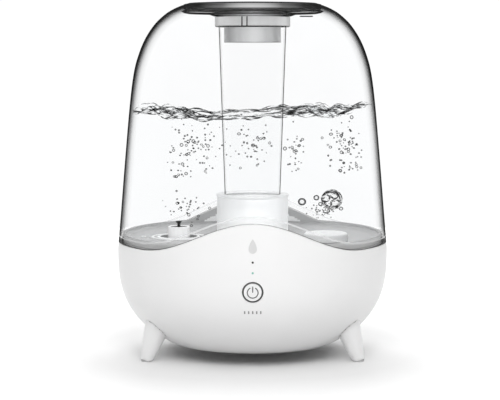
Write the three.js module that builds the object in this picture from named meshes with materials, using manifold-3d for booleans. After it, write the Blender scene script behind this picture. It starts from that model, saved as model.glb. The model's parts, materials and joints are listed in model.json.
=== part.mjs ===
// Cool mist humidifier: a clear domed water tank on a white bowl with three splayed legs.
// Millimetres, +Z up. The origin is on the surface it stands on, under the centre of the bowl.
// The front, with the power button, faces -Y. The tank lifts straight off along +Z.

import * as THREE from "three";
import { mergeVertices } from "three/addons/utils/BufferGeometryUtils.js";
import Module from "manifold-3d";

const wasm = await Module();
wasm.setup();

// ---------------------------------------------------------------- driving dimensions

const GAP = 0.3; // between pieces that rest on each other

// Bowl: a rounded form, widest at BOWL_WIDEST_Z, with a flat underside at BOWL_BOTTOM_Z.
const BODY_RADIUS = 118.8;
const BOWL_WIDEST_Z = 90;
const BOWL_BOTTOM_Z = 10;
const BOWL_DEPTH = 95;
const BOWL_FULLNESS = 2.73;
const BOWL_WALL = 2.8;

// Seam between bowl and tank: level at the sides, a wave that rises to the front and the back.
const SEAM_LOW_Z = 98.2;
const SEAM_RISE = 26.2;
const SEAM_HALF_WAVE = 95;

// Dome: radius and height of the points on its outline, from the bowl up to the recess.
const DOME_OUTLINE = [
  [BODY_RADIUS, 92],
  [116.4, 118],
  [112.2, 168],
  [107.5, 219],
  [103.9, 246],
  [99.6, 262],
  [93.6, 276],
  [85.4, 288.2],
  [76.3, 296.8],
  [68.6, 301.6],
  [61.6, 304.6],
];
const TANK_WALL = 2.5;
const SEAM_BAND_HEIGHT = 6.6; // thick ring of the tank just above the seam
const SEAM_BAND_THICK = 3.2;

// Recess in the tank's top, and the neck that hangs from it.
const RECESS_RADIUS = 60.8;
const RECESS_FLOOR_Z = 299.6;
const NECK_INNER = 30.2;
const NECK_OUTER = 31.4;
const NECK_BOTTOM_Z = 287.8;
const COLLAR_OUTER = 33;
const COLLAR_BOTTOM_Z = 285.6;
const COLLAR_TOP_Z = 294.6;

// Nozzle: a dish that drops into the recess, and a disc that turns in it.
const DISH_RADIUS = 60.2;
const DISH_BOTTOM_Z = 300;
const DISH_FLOOR = 2.3;
const DISH_RIM_Z = 305.4;
const SLEEVE_OUTER = 24.8;
const SLEEVE_INNER = 22.6;
const SLEEVE_BOTTOM_Z = 272.3;
const DISC_RADIUS = 57.2;
const DISC_TOP_Z = 306.6;
const OUTLET = { x: 0, y: -6, halfLong: 13, halfShort: 6 };
const KEY = { x: 47, halfLong: 5, halfWide: 4, bottomZ: 297.2 };

// Tank floor and what stands on it.
const FLOOR_TOP_Z = 102.3;
const FLOOR_BOTTOM_Z = 99.3;
const SKIRT_INSET = 3.5; // the tank's skirt stands this far inside the body's outline
const SKIRT_RADIUS = 112.7; // and lifts past the bowl's lips, so it is no wider than this
const SKIRT_THICK = 2.4;
const CHAMBER_OUTER = 31.4;
const CHAMBER_INNER = 29.2;
const CHAMBER_BOTTOM_Z = 84;
const CHAMBER_TOP_Z = 139.5;
const TUBE_BOTTOM = { radius: 24.5, z: 138 };
const TUBE_TOP = { radius: 29.7, z: 289.5 };
const TUBE_WALL = 2;

// Fill cap with its valve, under the left of the tank floor.
const CAP = { x: -64.6, y: -13 };
const CAP_OUTER = 21;
const CAP_BOTTOM_Z = 86.5;
const CAP_TOP_Z = 98.6;
const FILL_NECK_INNER = 16;
const FILL_NECK_OUTER = 18.2;
const CAGE_OUTER = 9.4;
const CAGE_TOP_Z = 111;
const VALVE_OPEN = 3.5; // how far the post in the basin holds the valve open

// Float under its cover, at the front right of the tank floor.
const FLOAT = { x: 63, y: -40 };
const FLOAT_COVER_RADIUS = 19.3;
const FLOAT_COVER_TOP_Z = 110;

// Basin tray.
const TRAY_TOP_Z = 99;
const TRAY_RADIUS = 114.2;
const BASIN_RADIUS = 101;
const BASIN_FLOOR_Z = 78;
const TRAY_THICK = 2.4;
const TRANSDUCER = { x: -21, y: 0, seatRadius: 13, seatZ: 68, cupRadius: 15.4, cupBottomZ: 64, wireHole: 1.7 };

// Air duct with the fan under it.
const DUCT = { minX: -6, maxX: 24.5, halfY: 11, bottomZ: 60, topZ: 132.5, wall: 1.8 };
const FAN = { x: 23, y: 0, size: 48, bottomZ: 35.5, topZ: 49.7 };

// Legs.
const LEG_AZIMUTHS = { left: -149, right: -31, rear: 90 }; // degrees from +X
const LEG_FOOT_RADIUS = 106.8; // from the centre of the bowl to the foot
const LEG_LEAN = 0.389; // inward run per unit of height
const LEG_LENGTH = 52; // along its axis, before the bowl and the floor cut it off
const LEG_BOTTOM_R = 5.4;
const LEG_TOP_R = 14.8;
const LEG_FOOT_Z = 0.5; // the rim round the pad stands this far above the floor
const PAD_RADIUS = 4;
const PAD_HEIGHT = 1.8;

// Front panel, by height.
const BUTTON_Z = 69;
const BUTTON_R = 7.6;
const BEZEL_R = 8.5;
const WATER_LIGHT_Z = 93.7;
const STATUS_LIGHT_Z = 85;
const BADGE_Z = 106.5;
const PANEL_BOARD_FRONT_Y = -108.9;

// Bottom cover and power socket.
const COVER_RADIUS = 69.9;
const COVER_THICK = 2.7;
const COVER_SCREW_RADIUS = 66;
const COVER_SCREW_AZIMUTHS = [30, 150, 270];
const INLET_Z = 45;

const ROUND = 32; // facets of a large round piece
const NECK = 28;
const MEDIUM = 20;
const SMALL = 12;

// ---------------------------------------------------------------- solids

// A closed geometry as a manifold-3d solid, facing out.
function solid(geometry) {
  const bare = geometry.index ? geometry.toNonIndexed() : geometry.clone();
  bare.deleteAttribute("normal");
  bare.deleteAttribute("uv");
  const merged = mergeVertices(bare, 1e-4);
  const triangles = [];
  for (let i = 0; i < merged.index.count; i += 3) {
    const [a, b, c] = [0, 1, 2].map((k) => merged.index.array[i + k]);
    if (a !== b && b !== c && c !== a) triangles.push([a, b, c]);
  }
  const build = (list) =>
    new wasm.Manifold(
      new wasm.Mesh({
        numProp: 3,
        vertProperties: new Float32Array(merged.attributes.position.array),
        triVerts: new Uint32Array(list.flat()),
      }),
    );
  const made = build(triangles);
  return made.volume() < 0 ? build(triangles.map(([a, b, c]) => [a, c, b])) : made;
}

// A profile of [radius, height] pairs, revolved about Z. It closes on itself or on the axis.
function revolve(profile, facets = ROUND) {
  const points = profile.map(([r, z]) => new THREE.Vector2(Math.max(r, 0), z));
  const onAxis = profile[0][0] === 0 && profile[profile.length - 1][0] === 0;
  if (!onAxis) points.push(points[0].clone());
  return solid(new THREE.LatheGeometry(points, facets).rotateX(Math.PI / 2));
}

function box(minX, maxX, minY, maxY, minZ, maxZ) {
  const geometry = new THREE.BoxGeometry(maxX - minX, maxY - minY, maxZ - minZ);
  geometry.translate((minX + maxX) / 2, (minY + maxY) / 2, (minZ + maxZ) / 2);
  return solid(geometry);
}

// A cylinder or a cone along Z, from one height to another.
function cylinder(x, y, radius, minZ, maxZ, facets = SMALL, topRadius = radius) {
  const geometry = new THREE.CylinderGeometry(topRadius, radius, maxZ - minZ, facets);
  geometry.rotateX(Math.PI / 2).translate(x, y, (minZ + maxZ) / 2);
  return solid(geometry);
}

// A cylinder along Y.
function crossCylinder(x, z, radius, minY, maxY, facets = SMALL) {
  const geometry = new THREE.CylinderGeometry(radius, radius, maxY - minY, facets);
  geometry.translate(x, (minY + maxY) / 2, z);
  return solid(geometry);
}

function ring(x, y, outer, inner, minZ, maxZ, facets = MEDIUM) {
  const through = cylinder(x, y, inner, minZ - 1, maxZ + 1, facets);
  return cylinder(x, y, outer, minZ, maxZ, facets).subtract(through);
}

// A flat outline of [x, z] pairs, extruded along Y.
function extrudeAcross(outline, minY, maxY) {
  const shape = new THREE.Shape(outline.map(([x, z]) => new THREE.Vector2(x, z)));
  const geometry = new THREE.ExtrudeGeometry(shape, { depth: maxY - minY, bevelEnabled: false });
  return solid(geometry.rotateX(Math.PI / 2).translate(0, maxY, 0));
}

// A flat shape in X and Y, extruded up.
function extrudeUp(shape, minZ, maxZ, curveSegments = 8) {
  const options = { depth: maxZ - minZ, bevelEnabled: false, curveSegments };
  return solid(new THREE.ExtrudeGeometry(shape, options).translate(0, 0, minZ));
}

function union(...solids) {
  return solids.reduce((sum, one) => sum.add(one));
}

const group = new THREE.Group();

function addPiece(name, made, material, turnDegrees = 0) {
  const mesh3d = made.getMesh();
  const geometry = new THREE.BufferGeometry();
  geometry.setAttribute("position", new THREE.BufferAttribute(mesh3d.vertProperties, 3));
  geometry.setIndex(new THREE.BufferAttribute(mesh3d.triVerts, 1));
  geometry.computeVertexNormals();
  const mesh = new THREE.Mesh(geometry, material);
  mesh.name = name;
  mesh.rotation.z = THREE.MathUtils.degToRad(turnDegrees);
  group.add(mesh);
}

// ---------------------------------------------------------------- materials

function plastic(color, roughness, opacity = 1) {
  return new THREE.MeshStandardMaterial({
    color,
    roughness,
    metalness: 0,
    opacity,
    transparent: opacity < 1,
  });
}

function metal(color, roughness) {
  return new THREE.MeshStandardMaterial({ color, roughness, metalness: 1 });
}

const WHITE = plastic(0xf3f3f3, 0.35);
const INNER_WHITE = plastic(0xe6e7e8, 0.5);
const CLEAR = plastic(0xf4f7f8, 0.05, 0.25);
const SMOKE = plastic(0x7b7f82, 0.15, 0.6);
const FROSTED = plastic(0xe9ebec, 0.4, 0.8);
const SILICONE = plastic(0xd8dadb, 0.6);
const GREY = plastic(0x8d9092, 0.4);
const BLACK = plastic(0x1b1c1e, 0.45);
const GREEN_LENS = plastic(0x9fc7b5, 0.2);
const CIRCUIT = plastic(0x2f6b46, 0.55);
const STEEL = metal(0xb9bcbf, 0.3);
const BRASS = metal(0xb89a5a, 0.35);
const ALUMINIUM = metal(0xc4c7c9, 0.4);

// ---------------------------------------------------------------- shared outlines

// Radius of the bowl's outside at a height up to its widest level.
function bowlRadius(z) {
  const drop = (BOWL_WIDEST_Z - z) / BOWL_DEPTH;
  return BODY_RADIUS * Math.sqrt(1 - drop ** BOWL_FULLNESS);
}

function bowlOutline(steps) {
  const outline = [];
  for (let i = 0; i <= steps; i++) {
    const share = Math.sin((i / steps) * (Math.PI / 2)); // closer together towards the top
    const z = BOWL_BOTTOM_Z + (BOWL_WIDEST_Z - BOWL_BOTTOM_Z) * share;
    outline.push([bowlRadius(z), z]);
  }
  return outline;
}

// The same outline moved towards the axis by a wall's thickness, square to the outline.
function inset(outline, distance) {
  return outline.map(([r, z], i) => {
    const [r0, z0] = outline[Math.max(i - 1, 0)];
    const [r1, z1] = outline[Math.min(i + 1, outline.length - 1)];
    const length = Math.hypot(r1 - r0, z1 - z0);
    return [r - (distance * (z1 - z0)) / length, z + (distance * (r1 - r0)) / length];
  });
}

function seamZ(x) {
  const phase = Math.min(Math.abs(x) / SEAM_HALF_WAVE, 1) * Math.PI;
  return SEAM_LOW_Z + (SEAM_RISE * (1 + Math.cos(phase))) / 2;
}

// Everything above the seam, raised by an offset, out past the body.
function aboveSeam(offset) {
  const reach = 125;
  const steps = 14;
  const outline = [];
  for (let i = 0; i <= steps; i++) {
    const x = -SEAM_HALF_WAVE + (2 * SEAM_HALF_WAVE * i) / steps;
    outline.push([x, seamZ(x) + offset]);
  }
  const top = 340;
  const low = SEAM_LOW_Z + offset;
  const closed = [[-reach, low], ...outline, [reach, low], [reach, top], [-reach, top]];
  return extrudeAcross(closed, -reach, reach);
}

const BOWL_STEPS = 8;
const bowlCurve = bowlOutline(BOWL_STEPS);
const domeTop = DOME_OUTLINE[DOME_OUTLINE.length - 1];

// The whole body's outside as one closed solid, a little larger or smaller by grow.
function bodySolid(grow) {
  const outline = inset([...bowlCurve, ...DOME_OUTLINE], -grow);
  return revolve([[0, BOWL_BOTTOM_Z - grow], ...outline, [0, domeTop[1] + grow]]);
}

// ---------------------------------------------------------------- bowl

// The part of the dome's outline that the bowl's lips reach.
const lipCurve = DOME_OUTLINE.filter(([, z]) => z > BOWL_WIDEST_Z + 1 && z < 180);
const bowlOutside = [...bowlCurve, ...lipCurve];
const FLANGE_INNER = 61.5;
const FLANGE_Z = BOWL_BOTTOM_Z + COVER_THICK + GAP;
const FLANGE_TOP_Z = FLANGE_Z + 2.6;
const LEDGE_TOP_Z = 91.7; // inside the bowl, under the tray's rim
const LEDGE_BOTTOM_Z = 89.3;
const LEDGE_INNER = 110.5;

function panelNotch() {
  return box(-17, 17, -BODY_RADIUS, -105.5, 86, TRAY_TOP_Z + 1);
}

function coverScrewSpots() {
  return COVER_SCREW_AZIMUTHS.map((degrees) => {
    const a = THREE.MathUtils.degToRad(degrees);
    return [COVER_SCREW_RADIUS * Math.cos(a), COVER_SCREW_RADIUS * Math.sin(a)];
  });
}

// A solid along the axis of the leg that points to +X: it starts at the foot and leans in.
function alongLeg(radius, from, to, facets, topRadius = radius) {
  const lean = Math.atan(LEG_LEAN);
  const geometry = new THREE.CylinderGeometry(topRadius, radius, to - from, facets);
  geometry.rotateX(Math.PI / 2).translate(0, 0, (from + to) / 2);
  geometry.rotateY(-lean).translate(LEG_FOOT_RADIUS, 0, 0);
  return solid(geometry);
}

const LEG_SCREW_HEAD_AT = 31.5; // along the leg's axis, inside the bowl

function makeBowl() {
  const inside = inset(bowlOutside, BOWL_WALL).filter(([, z]) => z > FLANGE_TOP_Z + 1);
  const profile = [
    [COVER_RADIUS + GAP, BOWL_BOTTOM_Z],
    ...bowlOutside,
    ...inside.reverse(),
    [bowlRadius(FLANGE_TOP_Z) - BOWL_WALL * 1.6, FLANGE_TOP_Z],
    [FLANGE_INNER, FLANGE_TOP_Z],
    [FLANGE_INNER, FLANGE_Z],
    [COVER_RADIUS + GAP, FLANGE_Z],
  ];
  let bowl = revolve(profile);
  const ledge = revolve([
    [LEDGE_INNER, LEDGE_BOTTOM_Z + 1.4],
    [BODY_RADIUS - 1.5, LEDGE_BOTTOM_Z - 1.4],
    [BODY_RADIUS - 1.5, LEDGE_TOP_Z],
    [LEDGE_INNER, LEDGE_TOP_Z],
  ]);
  bowl = bowl.add(ledge.subtract(panelNotch()));
  for (const [x, y] of coverScrewSpots()) bowl = bowl.add(cylinder(x, y, 4.2, FLANGE_Z, 25));
  for (const [x, y] of coverScrewSpots()) bowl = bowl.subtract(cylinder(x, y, 1.8, 0, 23));
  for (const azimuth of Object.values(LEG_AZIMUTHS)) {
    const hole = alongLeg(2.1, 15, 45, 12).rotate([0, 0, azimuth]);
    bowl = bowl.subtract(hole);
  }
  bowl = bowl.subtract(crossCylinder(0, BUTTON_Z, BEZEL_R + GAP, -125, -108, MEDIUM));
  for (const z of [WATER_LIGHT_Z, STATUS_LIGHT_Z]) {
    bowl = bowl.subtract(crossCylinder(0, z, 1.4, -125, -113, 12));
  }
  bowl = bowl.subtract(badgeSolid(0.5).subtract(bodySolid(-0.9)));
  bowl = bowl.subtract(crossCylinder(0, INLET_Z, 6.8, 100, 125, MEDIUM));
  return bowl.subtract(aboveSeam(0));
}

// A water drop, pointing up, as a thin inlay in the front of the bowl.
function badgeSolid(grow) {
  const half = 3.4 + grow;
  const tip = 7.6 + grow;
  const drop = new THREE.Shape();
  drop.moveTo(0, tip);
  drop.quadraticCurveTo(-half, tip * 0.28, -half, -tip * 0.1);
  drop.absarc(0, -tip * 0.1, half, Math.PI, 2 * Math.PI, false);
  drop.quadraticCurveTo(half, tip * 0.28, 0, tip);
  const geometry = new THREE.ExtrudeGeometry(drop, { depth: 12, bevelEnabled: false, curveSegments: 6 });
  return solid(geometry.rotateX(Math.PI / 2).translate(0, -110, BADGE_Z - 1.5));
}

addPiece("base_bowl", makeBowl(), WHITE);
addPiece(
  "badge",
  badgeSolid(0).intersect(bodySolid(-0.02)).subtract(bodySolid(-0.6)),
  GREY,
);

// ---------------------------------------------------------------- bottom cover and its screws

function makeBottomCover() {
  const top = BOWL_BOTTOM_Z + COVER_THICK;
  let cover = cylinder(0, 0, COVER_RADIUS, BOWL_BOTTOM_Z, top, ROUND);
  const posts = [];
  const corner = FAN.size / 2 - 4;
  for (const sx of [-1, 1]) {
    for (const sy of [-1, 1]) {
      posts.push(cylinder(FAN.x + sx * corner, FAN.y + sy * corner, 3, top - 1, FAN.bottomZ - GAP, 12));
      posts.push(cylinder(sx * 30, 44 + sy * 6, 2.6, top - 1, MAIN_BOARD_Z - GAP, 12));
    }
  }
  cover = union(cover, ...posts);
  const slots = 6;
  for (let i = 0; i < slots; i++) {
    const x = FAN.x + (i - (slots - 1) / 2) * 6.2;
    cover = cover.subtract(box(x - 1.7, x + 1.7, FAN.y - 18, FAN.y + 18, 0, top + 1));
  }
  for (const [x, y] of coverScrewSpots()) {
    cover = cover.subtract(cylinder(x, y, 1.8, 0, 20));
    cover = cover.subtract(cylinder(x, y, 3.3, 0, BOWL_BOTTOM_Z + 1.5));
  }
  return cover;
}

const MAIN_BOARD_Z = 34;
addPiece("bottom_cover", makeBottomCover(), INNER_WHITE);

coverScrewSpots().forEach(([x, y], i) => {
  const headTop = BOWL_BOTTOM_Z + 1.4;
  const head = cylinder(x, y, 2.9, headTop - 1.3, headTop - 0.1, SMALL);
  const cross = box(x - 1.6, x + 1.6, y - 0.35, y + 0.35, 0, headTop - 0.7);
  const shaft = cylinder(x, y, 1.45, headTop - 0.2, 22, 12);
  addPiece(`cover_screw_${i + 1}`, head.add(shaft).subtract(cross), STEEL);
});

// ---------------------------------------------------------------- legs

function makeLeg() {
  let leg = alongLeg(LEG_BOTTOM_R, 0, LEG_LENGTH, 24, LEG_TOP_R);
  leg = leg.add(alongLeg(LEG_BOTTOM_R, -4, 0.2, 24));
  leg = leg.subtract(bodySolid(GAP)).subtract(box(60, 130, -20, 20, -10, LEG_FOOT_Z));
  leg = leg.subtract(box(40, 130, -20, 20, 45, 90));
  leg = leg.subtract(cylinder(LEG_FOOT_RADIUS, 0, PAD_RADIUS + GAP, -1, PAD_HEIGHT, 24));
  return leg.subtract(alongLeg(1.9, 12, 60, 12));
}

function makeLegScrew() {
  const shaft = alongLeg(1.6, 14, LEG_SCREW_HEAD_AT + 4.5, 12);
  return shaft.add(alongLeg(4, LEG_SCREW_HEAD_AT + 4, LEG_SCREW_HEAD_AT + 6.5, SMALL));
}

const legSolid = makeLeg();
const legScrewSolid = makeLegScrew();
const padSolid = cylinder(LEG_FOOT_RADIUS, 0, PAD_RADIUS, 0, PAD_HEIGHT - GAP, 24);
for (const [side, azimuth] of Object.entries(LEG_AZIMUTHS)) {
  addPiece(`leg_${side}`, legSolid, WHITE, azimuth);
  addPiece(`leg_screw_${side}`, legScrewSolid, STEEL, azimuth);
  addPiece(`foot_pad_${side}`, padSolid, SILICONE, azimuth);
}

// ---------------------------------------------------------------- basin tray

function makeTray() {
  const under = BASIN_FLOOR_Z - TRAY_THICK;
  const slope = 2; // the basin's wall leans out
  let tray = revolve([
    [0, under],
    [BASIN_RADIUS + TRAY_THICK, under],
    [BASIN_RADIUS + slope + TRAY_THICK, TRAY_TOP_Z - TRAY_THICK],
    [TRAY_RADIUS - TRAY_THICK, TRAY_TOP_Z - TRAY_THICK],
    [TRAY_RADIUS - TRAY_THICK, LEDGE_TOP_Z + GAP],
    [TRAY_RADIUS, LEDGE_TOP_Z + GAP],
    [TRAY_RADIUS, TRAY_TOP_Z],
    [BASIN_RADIUS + slope, TRAY_TOP_Z],
    [BASIN_RADIUS, BASIN_FLOOR_Z],
    [0, BASIN_FLOOR_Z],
  ]);
  const { x, y, seatRadius, seatZ, cupRadius, cupBottomZ, wireHole } = TRANSDUCER;
  tray = tray.add(cylinder(x, y, cupRadius, cupBottomZ, BASIN_FLOOR_Z - 1, MEDIUM));
  tray = tray.subtract(cylinder(x, y, seatRadius, seatZ, BASIN_FLOOR_Z + 1, MEDIUM));
  tray = tray.subtract(cylinder(x, y, wireHole, cupBottomZ - 4, seatZ + 2, SMALL));
  const d = DUCT;
  const wall = 2;
  const outside = [d.minX - GAP - wall, d.maxX + GAP + wall, -d.halfY - GAP - wall, d.halfY + GAP + wall];
  const inside = [d.minX - GAP, d.maxX + GAP, -d.halfY - GAP, d.halfY + GAP];
  const rim = box(...outside, BASIN_FLOOR_Z - 1, 83);
  const well = cylinder(x, y, seatRadius, seatZ, 90, MEDIUM);
  tray = tray.add(rim.subtract(well)).subtract(box(...inside, 60, 90));
  tray = tray.add(cylinder(FLOAT.x, FLOAT.y, 3, BASIN_FLOOR_Z - 1, 105, SMALL));
  return tray.subtract(panelNotch().translate([0, 0, 6]));
}

addPiece("basin_tray", makeTray(), INNER_WHITE);

// ---------------------------------------------------------------- transducer

const spot = TRANSDUCER;
addPiece("transducer_seal", ring(spot.x, spot.y, 12.6, 7.8, 68.3, 69.7), SILICONE);
addPiece("transducer_disc", cylinder(spot.x, spot.y, 10, 70, 70.9, MEDIUM), BRASS);
addPiece("transducer_ring", ring(spot.x, spot.y, 12.6, 8.6, 71.2, 72.9), STEEL);

// ---------------------------------------------------------------- air duct and fan

function makeDuct() {
  const { minX, maxX, halfY, bottomZ, topZ, wall } = DUCT;
  const half = FAN.size / 2;
  const plenumBottom = FAN.topZ + GAP;
  const tower = box(minX, maxX, -halfY, halfY, bottomZ - 1, topZ);
  const plenum = box(FAN.x - half, FAN.x + half, -half, half, plenumBottom, bottomZ);
  const towerHollow = box(minX + wall, maxX - wall, -halfY + wall, halfY - wall, bottomZ - 4, topZ + 1);
  const inner = half - wall;
  const plenumHollow = box(
    FAN.x - inner,
    FAN.x + inner,
    -inner,
    inner,
    plenumBottom - 1,
    bottomZ - wall,
  );
  const shoulder = box(minX, FAN.x, -halfY, halfY, bottomZ - 4, bottomZ);
  const shoulderHollow = box(minX + wall, FAN.x, -halfY + wall, halfY - wall, bottomZ - 2.2, bottomZ + 1);
  return union(tower, plenum, shoulder)
    .subtract(towerHollow)
    .subtract(plenumHollow)
    .subtract(shoulderHollow);
}

function makeFanFrame() {
  const half = FAN.size / 2;
  let frame = box(FAN.x - half, FAN.x + half, FAN.y - half, FAN.y + half, FAN.bottomZ, FAN.topZ);
  frame = frame.subtract(cylinder(FAN.x, FAN.y, 21.6, 0, 90, MEDIUM));
  const motor = cylinder(FAN.x, FAN.y, 9.5, FAN.bottomZ, FAN.bottomZ + 3, MEDIUM);
  const spokes = [0, 1, 2, 3].map((i) => {
    const spoke = box(0, 22.2, -1.2, 1.2, FAN.bottomZ, FAN.bottomZ + 1.6);
    return spoke.rotate([0, 0, 45 + 90 * i]).translate([FAN.x, FAN.y, 0]);
  });
  return union(frame, motor, ...spokes);
}

function makeFanRotor() {
  const low = FAN.bottomZ + 3 + GAP;
  const high = FAN.topZ - 1;
  const hub = cylinder(0, 0, 9.2, low, high, MEDIUM);
  const blades = [];
  const count = 7;
  for (let i = 0; i < count; i++) {
    const blade = new THREE.BoxGeometry(12.6, 9.6, 0.9);
    blade.rotateX(THREE.MathUtils.degToRad(38)).translate(14.5, 0, (low + high) / 2);
    blades.push(solid(blade).rotate([0, 0, (360 / count) * i]));
  }
  return union(hub, ...blades).translate([FAN.x, FAN.y, 0]);
}

addPiece("air_duct", makeDuct(), WHITE);
addPiece("fan_frame", makeFanFrame(), BLACK);
addPiece("fan_rotor", makeFanRotor(), BLACK);

// ---------------------------------------------------------------- driver board and power socket

function makeMainBoard() {
  const top = MAIN_BOARD_Z + 1.6;
  return union(
    box(-40, 40, 34, 62, MAIN_BOARD_Z, top),
    box(-34, -18, 38, 54, top - 0.5, top + 13),
    box(20, 36, 51, 60, top - 0.5, top + 9),
    cylinder(-8, 44, 4, top - 0.5, top + 12, SMALL),
    cylinder(2, 44, 4, top - 0.5, top + 12, SMALL),
  );
}

function makeHeatSink() {
  const low = MAIN_BOARD_Z + 1.6 + GAP;
  const fins = [0, 1, 2, 3, 4].map((i) => box(14 + i * 4, 15.6 + i * 4, 37, 49, low, low + 15));
  return union(box(14, 31.6, 37, 49, low, low + 2), ...fins);
}

const INLET_FACE = bowlRadius(INLET_Z);

function makeInlet() {
  const flange = crossCylinder(0, INLET_Z, 6.4, 98, 112, MEDIUM).intersect(bodySolid(-0.25));
  const body = crossCylinder(0, INLET_Z, 5, 90, 100, MEDIUM);
  return flange.add(body).subtract(crossCylinder(0, INLET_Z, 3, 95, 125, SMALL));
}

addPiece("main_board", makeMainBoard(), CIRCUIT);
addPiece("heat_sink", makeHeatSink(), ALUMINIUM);
addPiece("power_inlet", makeInlet(), BLACK);
addPiece("power_inlet_pin", crossCylinder(0, INLET_Z, 1, 95 + GAP, INLET_FACE - 2, 12), STEEL);

// ---------------------------------------------------------------- front panel

const BUTTON_BACK_Y = -112.4;
const SWITCH_FRONT_Y = -110.9;

function makeButton() {
  const face = crossCylinder(0, BUTTON_Z, BUTTON_R, -125, BUTTON_BACK_Y, MEDIUM).intersect(bodySolid(0));
  const stem = crossCylinder(0, BUTTON_Z, 2.6, BUTTON_BACK_Y - 1, BUTTON_BACK_Y + 0.3, SMALL);
  return face.add(stem);
}

function makeBezel() {
  const outer = crossCylinder(0, BUTTON_Z, BEZEL_R, -125, -113.6, MEDIUM);
  const inner = crossCylinder(0, BUTTON_Z, BUTTON_R + 0.25, -126, -100, MEDIUM);
  return outer.intersect(bodySolid(0)).subtract(inner);
}

function lightPipe(z) {
  const rod = crossCylinder(0, z, 1.1, -125, PANEL_BOARD_FRONT_Y - 1.9, 12);
  return rod.intersect(bodySolid(-0.05));
}

addPiece("power_button", makeButton(), WHITE);
addPiece("button_bezel", makeBezel(), GREY);
addPiece("water_light_pipe", lightPipe(WATER_LIGHT_Z), BLACK);
addPiece("status_light_pipe", lightPipe(STATUS_LIGHT_Z), GREEN_LENS);
addPiece(
  "panel_board",
  box(-13, 13, PANEL_BOARD_FRONT_Y, PANEL_BOARD_FRONT_Y + 1.6, 57, 96.2),
  CIRCUIT,
);
addPiece(
  "button_switch",
  union(
    box(-3, 3, SWITCH_FRONT_Y + 0.7, PANEL_BOARD_FRONT_Y - GAP, BUTTON_Z - 3, BUTTON_Z + 3),
    crossCylinder(0, BUTTON_Z, 1.7, SWITCH_FRONT_Y, SWITCH_FRONT_Y + 1, 12),
  ),
  BLACK,
);
for (const [name, z] of [["water", WATER_LIGHT_Z], ["status", STATUS_LIGHT_Z]]) {
  const chip = box(-1.2, 1.2, PANEL_BOARD_FRONT_Y - 1.5, PANEL_BOARD_FRONT_Y - GAP, z - 1, z + 1);
  addPiece(`${name}_led`, chip, SILICONE);
}

// ---------------------------------------------------------------- float

const FLOAT_BOTTOM_Z = 84;
const FLOAT_HEIGHT = 14;

addPiece(
  "float_ring",
  ring(FLOAT.x, FLOAT.y, 14.5, 3.6, FLOAT_BOTTOM_Z, FLOAT_BOTTOM_Z + FLOAT_HEIGHT).subtract(
    ring(FLOAT.x, FLOAT.y, 7.3, 3, FLOAT_BOTTOM_Z - 1, FLOAT_BOTTOM_Z + 4.3),
  ),
  WHITE,
);
addPiece(
  "float_magnet",
  ring(FLOAT.x, FLOAT.y, 7, 3.8, FLOAT_BOTTOM_Z, FLOAT_BOTTOM_Z + 4),
  BLACK,
);
addPiece("float_stop", ring(FLOAT.x, FLOAT.y, 6.5, 3.3, BASIN_FLOOR_Z + GAP, FLOAT_BOTTOM_Z - GAP), GREY);
addPiece("float_sensor", box(57, 69, -42.5, -37.5, 71.3, 75.3), BLACK);

// ---------------------------------------------------------------- tank

function makeTankShell() {
  const outside = DOME_OUTLINE;
  const lift = TANK_WALL;
  const wallInner = RECESS_RADIUS + TANK_WALL;
  const inside = inset(outside, TANK_WALL).filter(([r]) => r > wallInner + 1.5);
  const recessUnder = RECESS_FLOOR_Z - lift;
  const neckTop = recessUnder - 1.6;
  const profile = [
    ...outside,
    [RECESS_RADIUS, domeTop[1]],
    [RECESS_RADIUS, RECESS_FLOOR_Z],
    [NECK_INNER + 2, neckTop + lift],
    [NECK_INNER, neckTop + lift],
    [NECK_INNER, NECK_BOTTOM_Z],
    [NECK_OUTER, NECK_BOTTOM_Z],
    [NECK_OUTER, neckTop - 0.6],
    [NECK_OUTER + 3, neckTop],
    [RECESS_RADIUS - 2, recessUnder],
    [wallInner, recessUnder + 1.6],
    [wallInner, inside[inside.length - 1][1] + 0.9],
    ...inside.reverse(),
  ];
  let shell = revolve(profile).intersect(aboveSeam(GAP));
  const bandOutline = outside.filter(([, z]) => z < 180);
  const band = revolve([...bandOutline, ...inset(bandOutline, SEAM_BAND_THICK).reverse()]);
  shell = shell.add(band.intersect(aboveSeam(GAP)).subtract(aboveSeam(SEAM_BAND_HEIGHT)));
  const { x, halfLong, halfWide, bottomZ } = KEY;
  const pocketBottom = bottomZ - 0.7;
  const long = halfLong + 1;
  const wide = halfWide + 1;
  shell = shell.add(
    box(x - long - 1.5, x + long + 1.5, -wide - 1.5, wide + 1.5, pocketBottom - 1.8, RECESS_FLOOR_Z - 1.4),
  );
  return shell.subtract(box(x - long, x + long, -wide, wide, pocketBottom, 310));
}

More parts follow.
